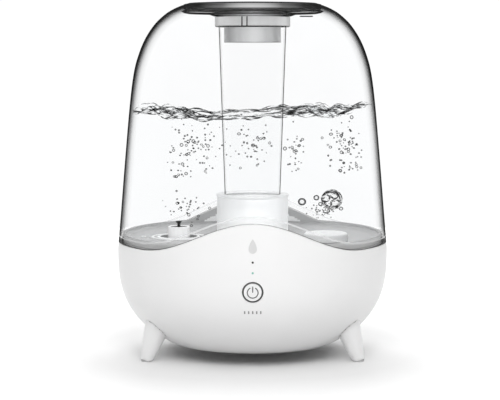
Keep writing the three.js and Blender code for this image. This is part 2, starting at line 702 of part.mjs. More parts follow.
function makeTankBottom() {
  const inner = SKIRT_INSET + SKIRT_THICK;
  const wall = (distance, radius, low) =>
    inset(DOME_OUTLINE, distance)
      .filter(([, z]) => z > low + 2 && z < 180)
      .map(([r, z]) => [Math.min(r, radius), z]);
  const edge = SKIRT_RADIUS;
  const outside = wall(SKIRT_INSET, edge, FLOOR_BOTTOM_Z);
  const inside = wall(inner, edge - SKIRT_THICK, FLOOR_TOP_Z);
  let bottom = revolve([
    [0, FLOOR_BOTTOM_Z],
    [edge, FLOOR_BOTTOM_Z],
    ...outside,
    ...inside.reverse(),
    [edge - SKIRT_THICK, FLOOR_TOP_Z],
    [0, FLOOR_TOP_Z],
  ]);
  bottom = bottom.subtract(aboveSeam(SEAM_BAND_HEIGHT));
  bottom = bottom.add(cylinder(CAP.x, CAP.y, FILL_NECK_OUTER, 90, FLOOR_BOTTOM_Z + 1, MEDIUM));
  bottom = bottom.subtract(cylinder(CAP.x, CAP.y, FILL_NECK_INNER, 80, 110, MEDIUM));
  bottom = bottom.subtract(cylinder(0, 0, CHAMBER_OUTER + GAP, 80, 110, NECK));
  return bottom.subtract(cylinder(FLOAT.x, FLOAT.y, FLOAT_COVER_RADIUS - 1.8, 80, 110, MEDIUM));
}

function makeMistChamber() {
  const seat = TUBE_BOTTOM.radius + 0.8;
  const hole = TUBE_BOTTOM.radius - TUBE_WALL;
  const flange = CHAMBER_OUTER + 3;
  const flangeZ = FLOOR_TOP_Z + GAP;
  return revolve(
    [
      [CHAMBER_INNER, CHAMBER_BOTTOM_Z],
      [CHAMBER_OUTER, CHAMBER_BOTTOM_Z],
      [CHAMBER_OUTER, flangeZ],
      [flange, flangeZ],
      [flange, flangeZ + 1.6],
      [CHAMBER_OUTER, flangeZ + 2.4],
      [CHAMBER_OUTER, CHAMBER_TOP_Z - 1],
      [CHAMBER_OUTER - 1, CHAMBER_TOP_Z],
      [seat, CHAMBER_TOP_Z],
      [seat, CHAMBER_TOP_Z - 3.2],
      [hole, CHAMBER_TOP_Z - 3.2],
      [hole, CHAMBER_TOP_Z - 5.2],
      [CHAMBER_INNER, CHAMBER_TOP_Z - 5.2],
    ],
    NECK,
  );
}

function makeMistTube() {
  const { radius: low, z: bottom } = TUBE_BOTTOM;
  const { radius: high, z: top } = TUBE_TOP;
  return revolve(
    [
      [low - TUBE_WALL, bottom],
      [low, bottom],
      [high, top],
      [high - TUBE_WALL, top],
    ],
    NECK,
  );
}

function makeTubeCollar() {
  const lip = TUBE_TOP.radius + 0.4;
  return revolve(
    [
      [lip, COLLAR_BOTTOM_Z],
      [COLLAR_OUTER - 1, COLLAR_BOTTOM_Z],
      [COLLAR_OUTER, COLLAR_BOTTOM_Z + 1],
      [COLLAR_OUTER, COLLAR_TOP_Z],
      [NECK_OUTER + GAP, COLLAR_TOP_Z],
      [NECK_OUTER + GAP, NECK_BOTTOM_Z - GAP],
      [lip, NECK_BOTTOM_Z - GAP],
    ],
    NECK,
  );
}

function makeFloatCover() {
  const outer = cylinder(
    FLOAT.x,
    FLOAT.y,
    FLOAT_COVER_RADIUS,
    FLOOR_TOP_Z + GAP,
    FLOAT_COVER_TOP_Z,
    MEDIUM,
    FLOAT_COVER_RADIUS - 0.6,
  );
  return outer.subtract(cylinder(FLOAT.x, FLOAT.y, FLOAT_COVER_RADIUS - 2.2, 90, FLOAT_COVER_TOP_Z - 1.8, MEDIUM));
}

addPiece("tank_shell", makeTankShell(), CLEAR);
addPiece("tank_bottom", makeTankBottom(), CLEAR);
addPiece("mist_chamber", makeMistChamber(), FROSTED);
addPiece("mist_tube", makeMistTube(), CLEAR);
addPiece("tube_collar", makeTubeCollar(), SMOKE);
addPiece("tube_top_seal", ring(0, 0, 29.6, 26, TUBE_TOP.z + GAP, TUBE_TOP.z + 1.8, MEDIUM), SILICONE);
addPiece(
  "tube_bottom_seal",
  ring(0, 0, 25, 22.9, CHAMBER_TOP_Z - 3.2 + GAP, TUBE_BOTTOM.z - GAP, MEDIUM),
  SILICONE,
);
addPiece("float_cover", makeFloatCover(), WHITE);

// ---------------------------------------------------------------- fill cap and valve

const CAP_FLOOR_TOP_Z = CAP_BOTTOM_Z + 2.5;
const PORT_RADIUS = 5;

function makeFillCap() {
  let cap = cylinder(CAP.x, CAP.y, CAP_OUTER - 0.8, CAP_BOTTOM_Z, CAP_TOP_Z, MEDIUM);
  const ribs = 16;
  for (let i = 0; i < ribs; i++) {
    const rib = box(CAP_OUTER - 2, CAP_OUTER, -1, 1, CAP_BOTTOM_Z + 0.6, CAP_TOP_Z - 0.6);
    cap = cap.add(rib.rotate([0, 0, (360 / ribs) * i]).translate([CAP.x, CAP.y, 0]));
  }
  cap = cap.subtract(cylinder(CAP.x, CAP.y, FILL_NECK_OUTER + GAP, CAP_FLOOR_TOP_Z, 110, MEDIUM));
  return cap.subtract(cylinder(CAP.x, CAP.y, PORT_RADIUS, 80, 110, SMALL));
}

function makeValveCage() {
  const low = CAP_FLOOR_TOP_Z + GAP;
  const inner = CAGE_OUTER - 1.8;
  const plate = 1.6;
  let cage = cylinder(CAP.x, CAP.y, CAGE_OUTER, low, CAGE_TOP_Z, MEDIUM);
  cage = cage.subtract(cylinder(CAP.x, CAP.y, inner, low - 1, CAGE_TOP_Z - plate, MEDIUM));
  cage = cage.subtract(cylinder(CAP.x, CAP.y, 1.9, low, CAGE_TOP_Z + 1, SMALL));
  for (let i = 0; i < 4; i++) {
    const window = box(0, CAGE_OUTER + 1, -3, 3, low + 1.5, low + 8);
    cage = cage.subtract(window.rotate([0, 0, 45 + 90 * i]).translate([CAP.x, CAP.y, 0]));
  }
  return cage;
}

const VALVE_PLATE_Z = CAP_FLOOR_TOP_Z + GAP + VALVE_OPEN;
const VALVE_PLATE_THICK = 1.6;
const PIN_TOP_Z = 115.4;

function makeValveStem() {
  return union(
    cylinder(CAP.x, CAP.y, 6.6, VALVE_PLATE_Z + 1, VALVE_PLATE_Z + 1 + VALVE_PLATE_THICK, 24),
    cylinder(CAP.x, CAP.y, 1.4, VALVE_PLATE_Z + 1, PIN_TOP_Z, 12),
    cylinder(CAP.x, CAP.y, 2.5, PIN_TOP_Z - 0.2, PIN_TOP_Z + 1.2, SMALL),
  );
}

// A compression spring round the stem, between the valve plate and the cage's top.
function makeValveSpring() {
  const low = VALVE_PLATE_Z + 1 + VALVE_PLATE_THICK + GAP + 0.4;
  const high = CAGE_TOP_Z - 1.6 - GAP - 0.4;
  const turns = 5;
  const perTurn = 9;
  const points = [];
  for (let i = 0; i <= turns * perTurn; i++) {
    const angle = (i / perTurn) * 2 * Math.PI;
    const z = low + ((high - low) * i) / (turns * perTurn);
    points.push(new THREE.Vector3(CAP.x + 4 * Math.cos(angle), CAP.y + 4 * Math.sin(angle), z));
  }
  const wire = new THREE.Shape();
  wire.absarc(0, 0, 0.4, 0, 2 * Math.PI, false);
  const path = new THREE.CatmullRomCurve3(points);
  const options = { steps: turns * perTurn, extrudePath: path, curveSegments: 3, bevelEnabled: false };
  return solid(new THREE.ExtrudeGeometry(wire, options));
}

addPiece("fill_cap", makeFillCap(), WHITE);
addPiece(
  "valve_post",
  union(
    cylinder(CAP.x, CAP.y, 2.2, BASIN_FLOOR_Z + GAP, VALVE_PLATE_Z + 1 - GAP, SMALL),
    cylinder(CAP.x, CAP.y, 6, BASIN_FLOOR_Z + GAP, BASIN_FLOOR_Z + 2, MEDIUM),
  ),
  WHITE,
);
addPiece(
  "fill_cap_seal",
  ring(CAP.x, CAP.y, FILL_NECK_OUTER - 0.2, FILL_NECK_INNER - 1, CAP_FLOOR_TOP_Z + 0.1, 89.7),
  SILICONE,
);
addPiece("valve_cage", makeValveCage(), WHITE);
addPiece("valve_stem", makeValveStem(), GREY);
addPiece("valve_seal", ring(CAP.x, CAP.y, 6.6, 3, VALVE_PLATE_Z - 0.2, VALVE_PLATE_Z + 0.7, 24), SILICONE);
addPiece("valve_spring", makeValveSpring(), STEEL);

// ---------------------------------------------------------------- nozzle

function makeDish() {
  const floorTop = DISH_BOTTOM_Z + DISH_FLOOR;
  const dish = revolve([
    [SLEEVE_INNER, SLEEVE_BOTTOM_Z],
    [SLEEVE_OUTER, SLEEVE_BOTTOM_Z],
    [SLEEVE_OUTER, DISH_BOTTOM_Z],
    [DISH_RADIUS, DISH_BOTTOM_Z],
    [DISH_RADIUS, DISH_RIM_Z],
    [DISC_RADIUS + 0.5, DISH_RIM_Z + 0.6],
    [DISC_RADIUS + 0.5, floorTop],
    [SLEEVE_INNER, floorTop],
  ]);
  const { x, halfLong, halfWide, bottomZ } = KEY;
  return dish.add(box(x - halfLong, x + halfLong, -halfWide, halfWide, bottomZ, DISH_BOTTOM_Z + 1));
}

function makeDisc() {
  const low = DISH_BOTTOM_Z + DISH_FLOOR + 0.4;
  const hubOuter = SLEEVE_INNER - 0.5;
  const hubInner = hubOuter - 2;
  const disc = revolve([
    [0, low],
    [DISC_RADIUS, low],
    [DISC_RADIUS, DISC_TOP_Z - 0.8],
    [DISC_RADIUS - 1.4, DISC_TOP_Z],
    [28, DISC_TOP_Z],
    [22, DISC_TOP_Z - 1.2],
    [0, DISC_TOP_Z - 1.2],
  ]);
  const hub = ring(0, 0, hubOuter, hubInner, low - 6, low + 0.5, NECK);
  const outlet = new THREE.Shape();
  outlet.absellipse(OUTLET.x, OUTLET.y, OUTLET.halfLong, OUTLET.halfShort, 0, 2 * Math.PI, false);
  return disc.add(hub).subtract(extrudeUp(outlet, low - 1, DISC_TOP_Z + 1, 16));
}

addPiece("nozzle_dish", makeDish(), SMOKE);
addPiece("nozzle_disc", makeDisc(), SMOKE);

export default group;
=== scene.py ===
"""Looks for the cool mist humidifier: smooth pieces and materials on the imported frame.

Lengths are in millimetres, in the frame's axes, and become metres where a mesh is made. The
lights and the camera are placed in metres.
"""

import json
import math
import random

import bmesh
import bpy
import numpy as np
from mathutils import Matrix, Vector


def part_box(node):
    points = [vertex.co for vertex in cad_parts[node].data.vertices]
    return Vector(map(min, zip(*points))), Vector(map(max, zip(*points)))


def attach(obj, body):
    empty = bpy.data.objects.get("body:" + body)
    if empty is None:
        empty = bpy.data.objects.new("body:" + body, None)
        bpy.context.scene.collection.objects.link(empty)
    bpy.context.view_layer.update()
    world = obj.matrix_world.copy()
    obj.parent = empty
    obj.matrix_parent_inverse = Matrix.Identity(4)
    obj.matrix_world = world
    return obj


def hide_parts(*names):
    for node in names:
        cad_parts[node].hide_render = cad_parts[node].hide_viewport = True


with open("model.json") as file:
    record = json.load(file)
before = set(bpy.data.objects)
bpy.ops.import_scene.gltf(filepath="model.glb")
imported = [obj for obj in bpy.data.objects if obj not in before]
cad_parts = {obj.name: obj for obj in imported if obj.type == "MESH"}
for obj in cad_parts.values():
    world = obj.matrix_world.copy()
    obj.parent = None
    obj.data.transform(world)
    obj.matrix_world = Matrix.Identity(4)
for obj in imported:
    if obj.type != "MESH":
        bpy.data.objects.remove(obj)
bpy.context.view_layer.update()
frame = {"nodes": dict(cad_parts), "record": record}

MM = 0.001
TAU = 2 * math.pi
AROUND = 128  # facets of a large round piece
NECK = 72
SMALL = 32


def box_mm(node):
    """Lowest and highest corner of a CAD node, in millimetres."""
    low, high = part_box(node)
    return np.array(low) / MM, np.array(high) / MM


def middle_mm(node):
    low, high = box_mm(node)
    return (low + high) / 2


def half_width(node):
    low, high = box_mm(node)
    return (high[0] - low[0]) / 2


# ---- shared outlines

BODY_RADIUS = box_mm("base_bowl")[1][0]
BOWL_BOTTOM = box_mm("base_bowl")[0][2]
BOWL_WIDEST, BOWL_DEPTH, BOWL_FULLNESS = 90.0, 95.0, 2.73
SEAM_LOW, SEAM_RISE, SEAM_HALF_WAVE = 98.2, 26.2, 95.0
GAP = 0.3
TANK_WALL = 2.5
DOME = [
    (BODY_RADIUS, 92), (116.4, 118), (112.2, 168), (107.5, 219), (103.9, 246),
    (99.6, 262), (93.6, 276), (85.4, 288.2), (76.3, 296.8), (68.6, 301.6), (61.6, 304.6),
]


def catmull(points, per_span):
    """A smooth curve through the points, as an array."""
    p = np.array([points[0], *points, points[-1]], float)
    p[0] = 2 * p[1] - p[2]
    p[-1] = 2 * p[-2] - p[-3]
    out = []
    for i in range(1, len(p) - 2):
        for t in np.arange(per_span) / per_span:
            a = 2 * p[i]
            b = p[i + 1] - p[i - 1]
            c = 2 * p[i - 1] - 5 * p[i] + 4 * p[i + 1] - p[i + 2]
            d = 3 * p[i] - p[i - 1] - 3 * p[i + 1] + p[i + 2]
            out.append((a + b * t + c * t * t + d * t**3) / 2)
    out.append(p[-2])
    return np.array(out)


def radius_at(outline, z):
    """Radius of an outline, made of radii and heights, at a height."""
    return float(np.interp(z, outline[:, 1], outline[:, 0]))


def around(radius, angle, z):
    """The point at a radius and angle round the axis."""
    return (radius * math.cos(angle), radius * math.sin(angle), z)


def angles(count):
    return [TAU * j / count for j in range(count)]


def bowl_radius(z):
    drop = max((BOWL_WIDEST - z) / BOWL_DEPTH, 0)
    return BODY_RADIUS * math.sqrt(max(1 - drop**BOWL_FULLNESS, 0))


def bowl_rows(count):
    """Radius and height of the bowl's outside from its bottom to its widest level."""
    rows = []
    for i in range(count + 1):
        z = BOWL_BOTTOM + (BOWL_WIDEST - BOWL_BOTTOM) * math.sin(i / count * math.pi / 2)
        rows.append((bowl_radius(z), z))
    return rows


def inset(outline, distance):
    """The outline moved square to itself towards the axis."""
    outline = np.array(outline, float)
    way = np.gradient(outline, axis=0)
    way /= np.linalg.norm(way, axis=1)[:, None]
    return outline + distance * np.stack([-way[:, 1], way[:, 0]], axis=1)


dome = catmull(DOME, 8)
bowl_side = [*bowl_rows(40)[:-1], (BODY_RADIUS, BOWL_WIDEST)]
body = np.array([*bowl_side, *dome])


def seam_height(x):
    phase = min(abs(x) / SEAM_HALF_WAVE, 1) * math.pi
    return SEAM_LOW + SEAM_RISE * (1 + math.cos(phase)) / 2


def seam_point(angle, outline, offset=0.0):
    """Radius and height where an outline meets the seam at an angle round the axis."""
    z = SEAM_LOW
    for _ in range(12):
        r = radius_at(outline, z)
        z = seam_height(r * math.cos(angle)) + offset
    return r, z


def rows_between(outline, low, high, shares):
    """Rows of an outline at shares of the way between two heights that vary with the angle."""
    turns = angles(AROUND * 2)
    ends = [(low(a), high(a)) for a in turns]
    rows = []
    for share in shares:
        row = []
        for a, (start, end) in zip(turns, ends):
            z = start + (end - start) * share
            row.append(around(radius_at(outline, z), a, z))
        rows.append(row)
    return rows


# ---- meshes


def make_piece(name, shape, materials, slots=None, smooth=True, sharp=35):
    """A mesh object from points in millimetres and faces. slots gives each face's material."""
    points, faces = shape
    mesh = bpy.data.meshes.new(name)
    mesh.from_pydata([tuple(np.array(p) * MM) for p in points], [], faces)
    for material in materials:
        mesh.materials.append(material)
    if slots is not None:
        mesh.polygons.foreach_set("material_index", slots)
    mesh.polygons.foreach_set("use_smooth", [smooth] * len(faces))
    mesh.validate()
    shell = bmesh.new()
    shell.from_mesh(mesh)
    bmesh.ops.recalc_face_normals(shell, faces=shell.faces)
    shell.to_mesh(mesh)
    shell.free()
    if smooth and sharp:
        mesh.set_sharp_from_angle(angle=math.radians(sharp))
    piece = bpy.data.objects.new(name, mesh)
    bpy.context.scene.collection.objects.link(piece)
    return piece


def skin(rows, wrap=False):
    """Points and faces of a surface through rows of points round an axis.

    A row of one point closes the surface there. wrap joins the last row to the first.
    """
    points, starts = [], []
    for row in rows:
        starts.append(len(points))
        points.extend(row)
    faces = []
    pairs = [(i, i + 1) for i in range(len(rows) - 1)]
    if wrap:
        pairs.append((len(rows) - 1, 0))
    for a, b in pairs:
        na, nb = len(rows[a]), len(rows[b])
        for j in range(max(na, nb)):
            k = (j + 1) % max(na, nb)
            if na == 1:
                faces.append((starts[a], starts[b] + k, starts[b] + j))
            elif nb == 1:
                faces.append((starts[a] + j, starts[a] + k, starts[b]))
            else:
                faces.append((starts[a] + j, starts[a] + k, starts[b] + k, starts[b] + j))
    return points, faces


def circle(r, z, count, centre=(0, 0)):
    if r < 1e-6:
        return [(centre[0], centre[1], z)]
    return [
        (centre[0] + r * math.cos(TAU * j / count), centre[1] + r * math.sin(TAU * j / count), z)
        for j in range(count)
    ]


def fillet(profile, radius, closed=True, steps=3):
    """A profile with its corners rounded."""
    p = [np.array(q, float) for q in profile]
    out = []
    for i, here in enumerate(p):
        if not closed and i in (0, len(p) - 1):
            out.append(tuple(here))
            continue
        before, after = p[i - 1], p[(i + 1) % len(p)]
        la, lb = np.linalg.norm(before - here), np.linalg.norm(after - here)
        cut = min(radius, 0.45 * la, 0.45 * lb)
        start = here + (before - here) / la * cut
        end = here + (after - here) / lb * cut
        for k in range(steps + 1):
            t = k / steps
            out.append(tuple((1 - t) ** 2 * start + 2 * t * (1 - t) * here + t * t * end))
    return out


def lathe(name, profile, material, count=NECK, centre=(0, 0), round_by=0.4):
    """A revolved piece. The profile ends on the axis at both ends, or closes on itself."""
    on_axis = profile[0][0] == 0 and profile[-1][0] == 0
    rounded = fillet(profile, round_by, closed=not on_axis)
    rows = [circle(r, z, count, centre) for r, z in rounded]
    return make_piece(name, skin(rows, wrap=not on_axis), [material])


def recolour(piece, material, where):
    """Gives another material to the faces whose middle, in millimetres, passes a test."""
    piece.data.materials.append(material)
    last = len(piece.data.materials) - 1
    for face in piece.data.polygons:
        if where(*(face.center / MM)):
            face.material_index = last


def stand_for(piece, body_name, slot, *nodes):
    """The piece rides on a body and replaces CAD nodes, which it hides. slot is not used."""
    if nodes:
        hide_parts(*nodes)
    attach(piece, body_name)
    return piece


# ---- materials


class Nodes:
    """The node tree of a material, or of the world, under construction."""

    def __init__(self, owner, output="ShaderNodeOutputMaterial"):
        owner.use_nodes = True
        self.owner = owner
        self.tree = owner.node_tree
        self.tree.nodes.clear()
        self.out = self.add(output)

    def add(self, kind, **values):
        node = self.tree.nodes.new(kind)
        for key, value in values.items():
            if key in node.inputs:
                node.inputs[key].default_value = value
            else:
                setattr(node, key, value)
        return node

    def link(self, source, target):
        self.tree.links.new(source, target)

    def noise(self, scale, detail=3.0, roughness=0.5, stretch=(1, 1, 1)):
        """Noise over the piece itself, with the scale in waves per metre."""
        where = self.add("ShaderNodeTexCoord")
        placed = self.add("ShaderNodeMapping")
        placed.inputs["Scale"].default_value = stretch
        self.link(where.outputs["Object"], placed.inputs["Vector"])
        noise = self.add("ShaderNodeTexNoise", Scale=scale, Detail=detail, Roughness=roughness)
        self.link(placed.outputs["Vector"], noise.inputs["Vector"])
        return noise.outputs["Fac"]

    def ramp(self, source, stops):
        """A colour ramp through (position, colour) stops."""
        ramp = self.add("ShaderNodeValToRGB")
        elements = ramp.color_ramp.elements
        while len(elements) < len(stops):
            elements.new(0.5)
        for element, (position, colour) in zip(elements, stops):
            element.position = position
            element.color = (*colour, 1)
        self.link(source, ramp.inputs["Fac"])
        return ramp.outputs["Color"]

    def combined(self, first, second, operation="MULTIPLY"):
        """The product or sum of two values."""
        node = self.add("ShaderNodeMath", operation=operation)
        self.link(first, node.inputs[0])
        self.link(second, node.inputs[1])
        return node.outputs["Value"]

    def ranged(self, source, low, high, from_low=0.0, from_high=1.0):
        """A value between two levels, mapped between two others."""
        node = self.add("ShaderNodeMapRange")
        ends = {"From Min": from_low, "From Max": from_high, "To Min": low, "To Max": high}
        for key, value in ends.items():
            node.inputs[key].default_value = value
        self.link(source, node.inputs["Value"])
        return node.outputs["Result"]

    def axis(self, space, letter):
        """One axis of a coordinate space."""
        where = self.add("ShaderNodeTexCoord")
        parts = self.add("ShaderNodeSeparateXYZ")
        self.link(where.outputs[space], parts.inputs["Vector"])
        return parts.outputs[letter]

    def mixed(self, share, first, second):
        """A shader between two others; share is a number or an output."""
        node = self.add("ShaderNodeMixShader")
        if isinstance(share, float):
            node.inputs["Fac"].default_value = share
        else:
            self.link(share, node.inputs["Fac"])
        self.link(first, node.inputs[1])
        self.link(second, node.inputs[2])
        return node.outputs["Shader"]

    def finished(self, shader):
        """Sends a shader to the output."""
        self.link(shader, self.out.inputs["Surface"])
        return self.owner


def new_material(name):
    return Nodes(bpy.data.materials.new(name))


def grey(value):
    return (value, value, value)


def greys(stops):
    return [(position, grey(value)) for position, value in stops]


def moulded(name, colour, rough, grain=900, depth=0.02, vary=0.02, coat=0.0, metallic=0.0):
    """Moulded plastic, rubber or metal: slight mottling, fine grain and uneven gloss."""
    m = new_material(name)
    shader = m.add("ShaderNodeBsdfPrincipled", Metallic=metallic)
    shader.inputs["Coat Weight"].default_value = coat
    shader.inputs["Coat Roughness"].default_value = 0.12
    broad = m.noise(25, 2)
    darker = tuple(c * (1 - vary) for c in colour)
    lighter = tuple(min(c * (1 + vary), 1) for c in colour)
    m.link(m.ramp(broad, [(0.3, darker), (0.7, lighter)]), shader.inputs["Base Color"])
    fine = m.noise(grain, 4)
    m.link(m.ranged(fine, rough * 0.85, rough * 1.15), shader.inputs["Roughness"])
    bump = m.add("ShaderNodeBump", Strength=depth, Distance=0.0004)
    m.link(fine, bump.inputs["Height"])
    m.link(bump.outputs["Normal"], shader.inputs["Normal"])
    return m.finished(shader.outputs["BSDF"])


def brushed(name, colour, rough):
    """Metal with fine lines along one axis."""
    m = new_material(name)
    shader = m.add("ShaderNodeBsdfPrincipled", Metallic=1.0)
    lines = m.noise(1500, 2, 0.6, stretch=(1, 1, 0.05))
    dim = tuple(c * 0.88 for c in colour)
    m.link(m.ramp(lines, [(0.3, dim), (0.7, colour)]), shader.inputs["Base Color"])
    m.link(m.ranged(lines, rough * 0.7, rough * 1.3), shader.inputs["Roughness"])
    return m.finished(shader.outputs["BSDF"])


def clear(name, tint, edge, stops, gloss=0.03, ripple=0.0, broken=None, painted_light_on_top=None, thicker=None):
    """Clear plastic or water: see-through face on, and dark where it is seen along its wall.

    stops are the positions and strengths of the dark edge, from face on (0) to edge on (1).
    broken is the scale of a noise that breaks the dark edge into strokes, and painted_light_on_top
    is the strength that the edge keeps where the surface faces up: painted light on the upper side
    and painted shade on the lower side. thicker holds a share and two heights: between the heights
    the edge grows inwards by that share.
    """
    m = new_material(name)
    through = m.add("ShaderNodeBsdfTransparent", Color=(*tint, 1))
    dark = m.add("ShaderNodeBsdfPrincipled", Roughness=0.5)
    dark.inputs["Specular IOR Level"].default_value = 0.0
    streaks = m.noise(60, 3, 0.6, stretch=(1, 1, 0.12))
    lighter = tuple(min(c * 1.6 + 0.01, 1) for c in edge)
    m.link(m.ramp(streaks, [(0.35, edge), (0.65, lighter)]), dark.inputs["Base Color"])
    facing = m.add("ShaderNodeLayerWeight", Blend=0.5)
    if ripple:
        bump = m.add("ShaderNodeBump", Strength=ripple, Distance=0.002)
        m.link(m.noise(140, 3), bump.inputs["Height"])
        m.link(bump.outputs["Normal"], facing.inputs["Normal"])
    along = facing.outputs["Facing"]
    if thicker:
        share, low, high = thicker
        growth = m.ranged(m.axis("Object", "Z"), 0.0, share, low * MM, high * MM)
        along = m.combined(along, growth, "ADD")
    strength = m.ramp(along, greys(stops))
    if broken:
        patches = m.noise(broken, 2, 0.5, stretch=(0.45, 0.45, 1.6))
        strength = m.combined(strength, m.ramp(patches, greys([(0.44, 0), (0.52, 1)])))
    # Painted light and shade: the dark edge is weaker where the surface faces up and full where it faces
    # down.
    if painted_light_on_top is not None:
        strength = m.combined(strength, m.ramp(m.axis("Normal", "Z"), greys([(0.0, 1), (0.5, painted_light_on_top)])))
    wall = m.mixed(strength, through.outputs["BSDF"], dark.outputs["BSDF"])
    shine = m.add("ShaderNodeBsdfGlossy", Roughness=0.06)
    return m.finished(m.mixed(gloss, wall, shine.outputs["BSDF"]))


def milky(name, colour, through, rough, glow=0.0, streaks=0.0, painted_glow=(), shine=0.5):
    """Translucent plastic that shows a little of what is behind it.

    glow is the share of light that it scatters from its far side, and streaks darkens it in
    upright lines. painted_glow are stops, from face on (0) to edge on (1), of painted light: a
    glow that the plastic gives off itself, in place of light that falls on it or passes through it.
    """
    m = new_material(name)
    shader = m.add("ShaderNodeBsdfPrincipled", Roughness=rough)
    shader.inputs["Specular IOR Level"].default_value = shine
    fine = m.noise(300, 3)
    broad = m.noise(70, 2, stretch=(1, 1, 0.02)) if streaks else fine
    darker = tuple(c * (0.96 - streaks) for c in colour)
    tone = m.ramp(broad, [(0.3, darker), (0.7, colour)])
    m.link(tone, shader.inputs["Base Color"])
    m.link(m.ranged(fine, rough * 0.8, rough * 1.2), shader.inputs["Roughness"])
    solid_part = shader.outputs["BSDF"]
    if glow:
        far_side = m.add("ShaderNodeBsdfTranslucent")
        m.link(tone, far_side.inputs["Color"])
        solid_part = m.mixed(glow, solid_part, far_side.outputs["BSDF"])
    clear_part = m.add("ShaderNodeBsdfTransparent", Color=(0.98, 0.985, 0.99, 1))
    facing = m.add("ShaderNodeLayerWeight", Blend=0.5)
    share = m.ramp(facing.outputs["Facing"], greys([(0.0, 1 - through), (0.7, 1 - through * 0.7), (1.0, 1)]))
    # Painted light: the plastic glows by stops from face on to edge on, in place of light that reaches it.
    if painted_glow:
        inner = m.ramp(facing.outputs["Facing"], greys(painted_glow))
        shader.inputs["Emission Strength"].default_value = 1 / (1 - glow)
        m.link(inner, shader.inputs["Emission Color"])
    return m.finished(m.mixed(share, clear_part.outputs["BSDF"], solid_part))


def glowing(name, colour, strength):
    """A small lens that shines by its own lamp."""
    m = new_material(name)
    shader = m.add("ShaderNodeBsdfPrincipled", Roughness=0.2)
    fine = m.noise(1800, 2)
    dim = tuple(c * 0.8 for c in colour)
    m.link(m.ramp(fine, [(0.35, dim), (0.65, colour)]), shader.inputs["Base Color"])
    shader.inputs["Emission Color"].default_value = (*colour, 1)
    shader.inputs["Emission Strength"].default_value = strength
    return m.finished(shader.outputs["BSDF"])


WHITE = moulded("white_gloss_plastic", grey(0.88), 0.42, depth=0.015, vary=0.008, coat=0.08)
SATIN = moulded("white_satin_plastic", grey(0.82), 0.5, grain=1200, depth=0.05, vary=0.015)
# Tank skirt: pale plastic with painted light, a glow brightest face on.
WALL_PALE = milky(
    "tank_skirt_plastic", grey(0.84), 0.3, 0.25, glow=0.5,
    painted_glow=[(0.0, 0.3), (0.1, 0.26), (0.3, 0.05), (1.0, 0.02)],
)
# Tank floor: grey in place of its clear plastic, as painted shade of the base seen through it, with a faint
# painted glow.
TANK_FLOOR_SHADE = milky("tank_floor_painted_shade", grey(0.36), 0.1, 0.25, painted_glow=[(0.0, 0.05), (1.0, 0.05)])
CLEAR = clear(
    "clear_tank_plastic",
    (0.988, 0.99, 0.992),
    grey(0.004),
    [
        (0.0, 0.0), (0.625, 0.0), (0.646, 0.02), (0.67, 0.04), (0.694, 0.07), (0.72, 0.12), (0.75, 0.22),
        (0.783, 0.38), (0.823, 0.55), (0.87, 0.85), (0.92, 1.0),
    ],
    gloss=0.012,
    thicker=(0.06, 190, 262),
)
CLEAR_INSIDE = clear(
    "clear_tank_inside", (0.994, 0.995, 0.996), grey(0.01),
    [(0.0, 0.0), (0.75, 0.0), (0.95, 0.06), (1.0, 0.15)], gloss=0.004,
)
TUBE_CLEAR = clear(
    "clear_tube_plastic", grey(0.998), grey(0.04),
    [(0.0, 0.0), (0.6, 0.0), (0.74, 0.1), (0.8, 0.6), (0.86, 0.95), (1.0, 1.0)], gloss=0.01,
)
TUBE_INSIDE = clear(
    "clear_tube_inside", grey(0.998), grey(0.3),
    [(0.0, 0.0), (0.9, 0.0), (1.0, 0.3)], gloss=0.0,
)
WATER_SIDE = clear(
    "clear_water_side", (0.997, 0.999, 1.0), grey(0.006),
    [(0.0, 0.0), (0.98, 0.0), (1.0, 0.05)], gloss=0.0,
)
WATER = clear(
    "clear_water",
    (0.997, 0.999, 1.0),
    grey(0.004),
    [
        (0.0, 0.0), (0.5, 0.0), (0.66, 0.3), (0.74, 0.85), (0.84, 1.0), (0.895, 0.5), (0.93, 0.08),
        (0.97, 0.03), (1.0, 0.2),
    ],
    gloss=0.0,
    ripple=0.45,
    broken=300,
)
# Bubbles: dark rims with painted shade underneath and painted light on top.
BUBBLE = clear(
    "air_bubble", grey(0.99), grey(0.004),
    [(0.0, 0.0), (0.12, 0.05), (0.25, 0.6), (0.4, 1.0), (1.0, 1.0)], gloss=0.03, painted_light_on_top=0.35,
)
BUBBLE_FINE = clear(
    "fine_air_bubble", grey(0.99), grey(0.004),
    [(0.0, 0.1), (0.1, 0.5), (0.25, 1.0), (1.0, 1.0)], gloss=0.02,
)
BUBBLE_LARGE = clear(
    "large_air_bubble", grey(0.995), grey(0.004),
    [(0.0, 0.0), (0.25, 0.0), (0.36, 1.0), (0.48, 1.0), (0.56, 0.1), (0.64, 0.1), (0.7, 1.0), (1.0, 1.0)],
    gloss=0.03, ripple=1.0, broken=300,
)
BAND = clear(
    "tank_lower_ring", grey(0.99), grey(0.03),
    [(0.0, 0.0), (0.35, 0.0), (0.6, 0.06), (0.8, 0.3), (0.9, 0.9), (0.95, 1.0)], gloss=0.02,
)
# Grey strip along the inside of the skirt's top: painted shade, with a faint painted glow.
SKIRT_RIM_SHADE = milky("tank_skirt_rim_painted_shade", grey(0.42), 0.3, 0.25, painted_glow=[(0.0, 0.08), (1.0, 0.08)])
# Step above the tinted ring: a pale strip as painted highlight, with a faint painted glow.
RING_HIGHLIGHT = milky("tank_ring_painted_highlight", grey(0.8), 0.55, 0.2, glow=0.5, painted_glow=[(0.0, 0.1), (1.0, 0.02)])
# Milky chamber: painted light, a glow brightest face on.
FROST = milky(
    "milky_chamber_plastic", grey(0.95), 0.35, 0.3, glow=0.5,
    painted_glow=[(0.0, 0.12), (0.4, 0.08), (1.0, 0.0)],
)
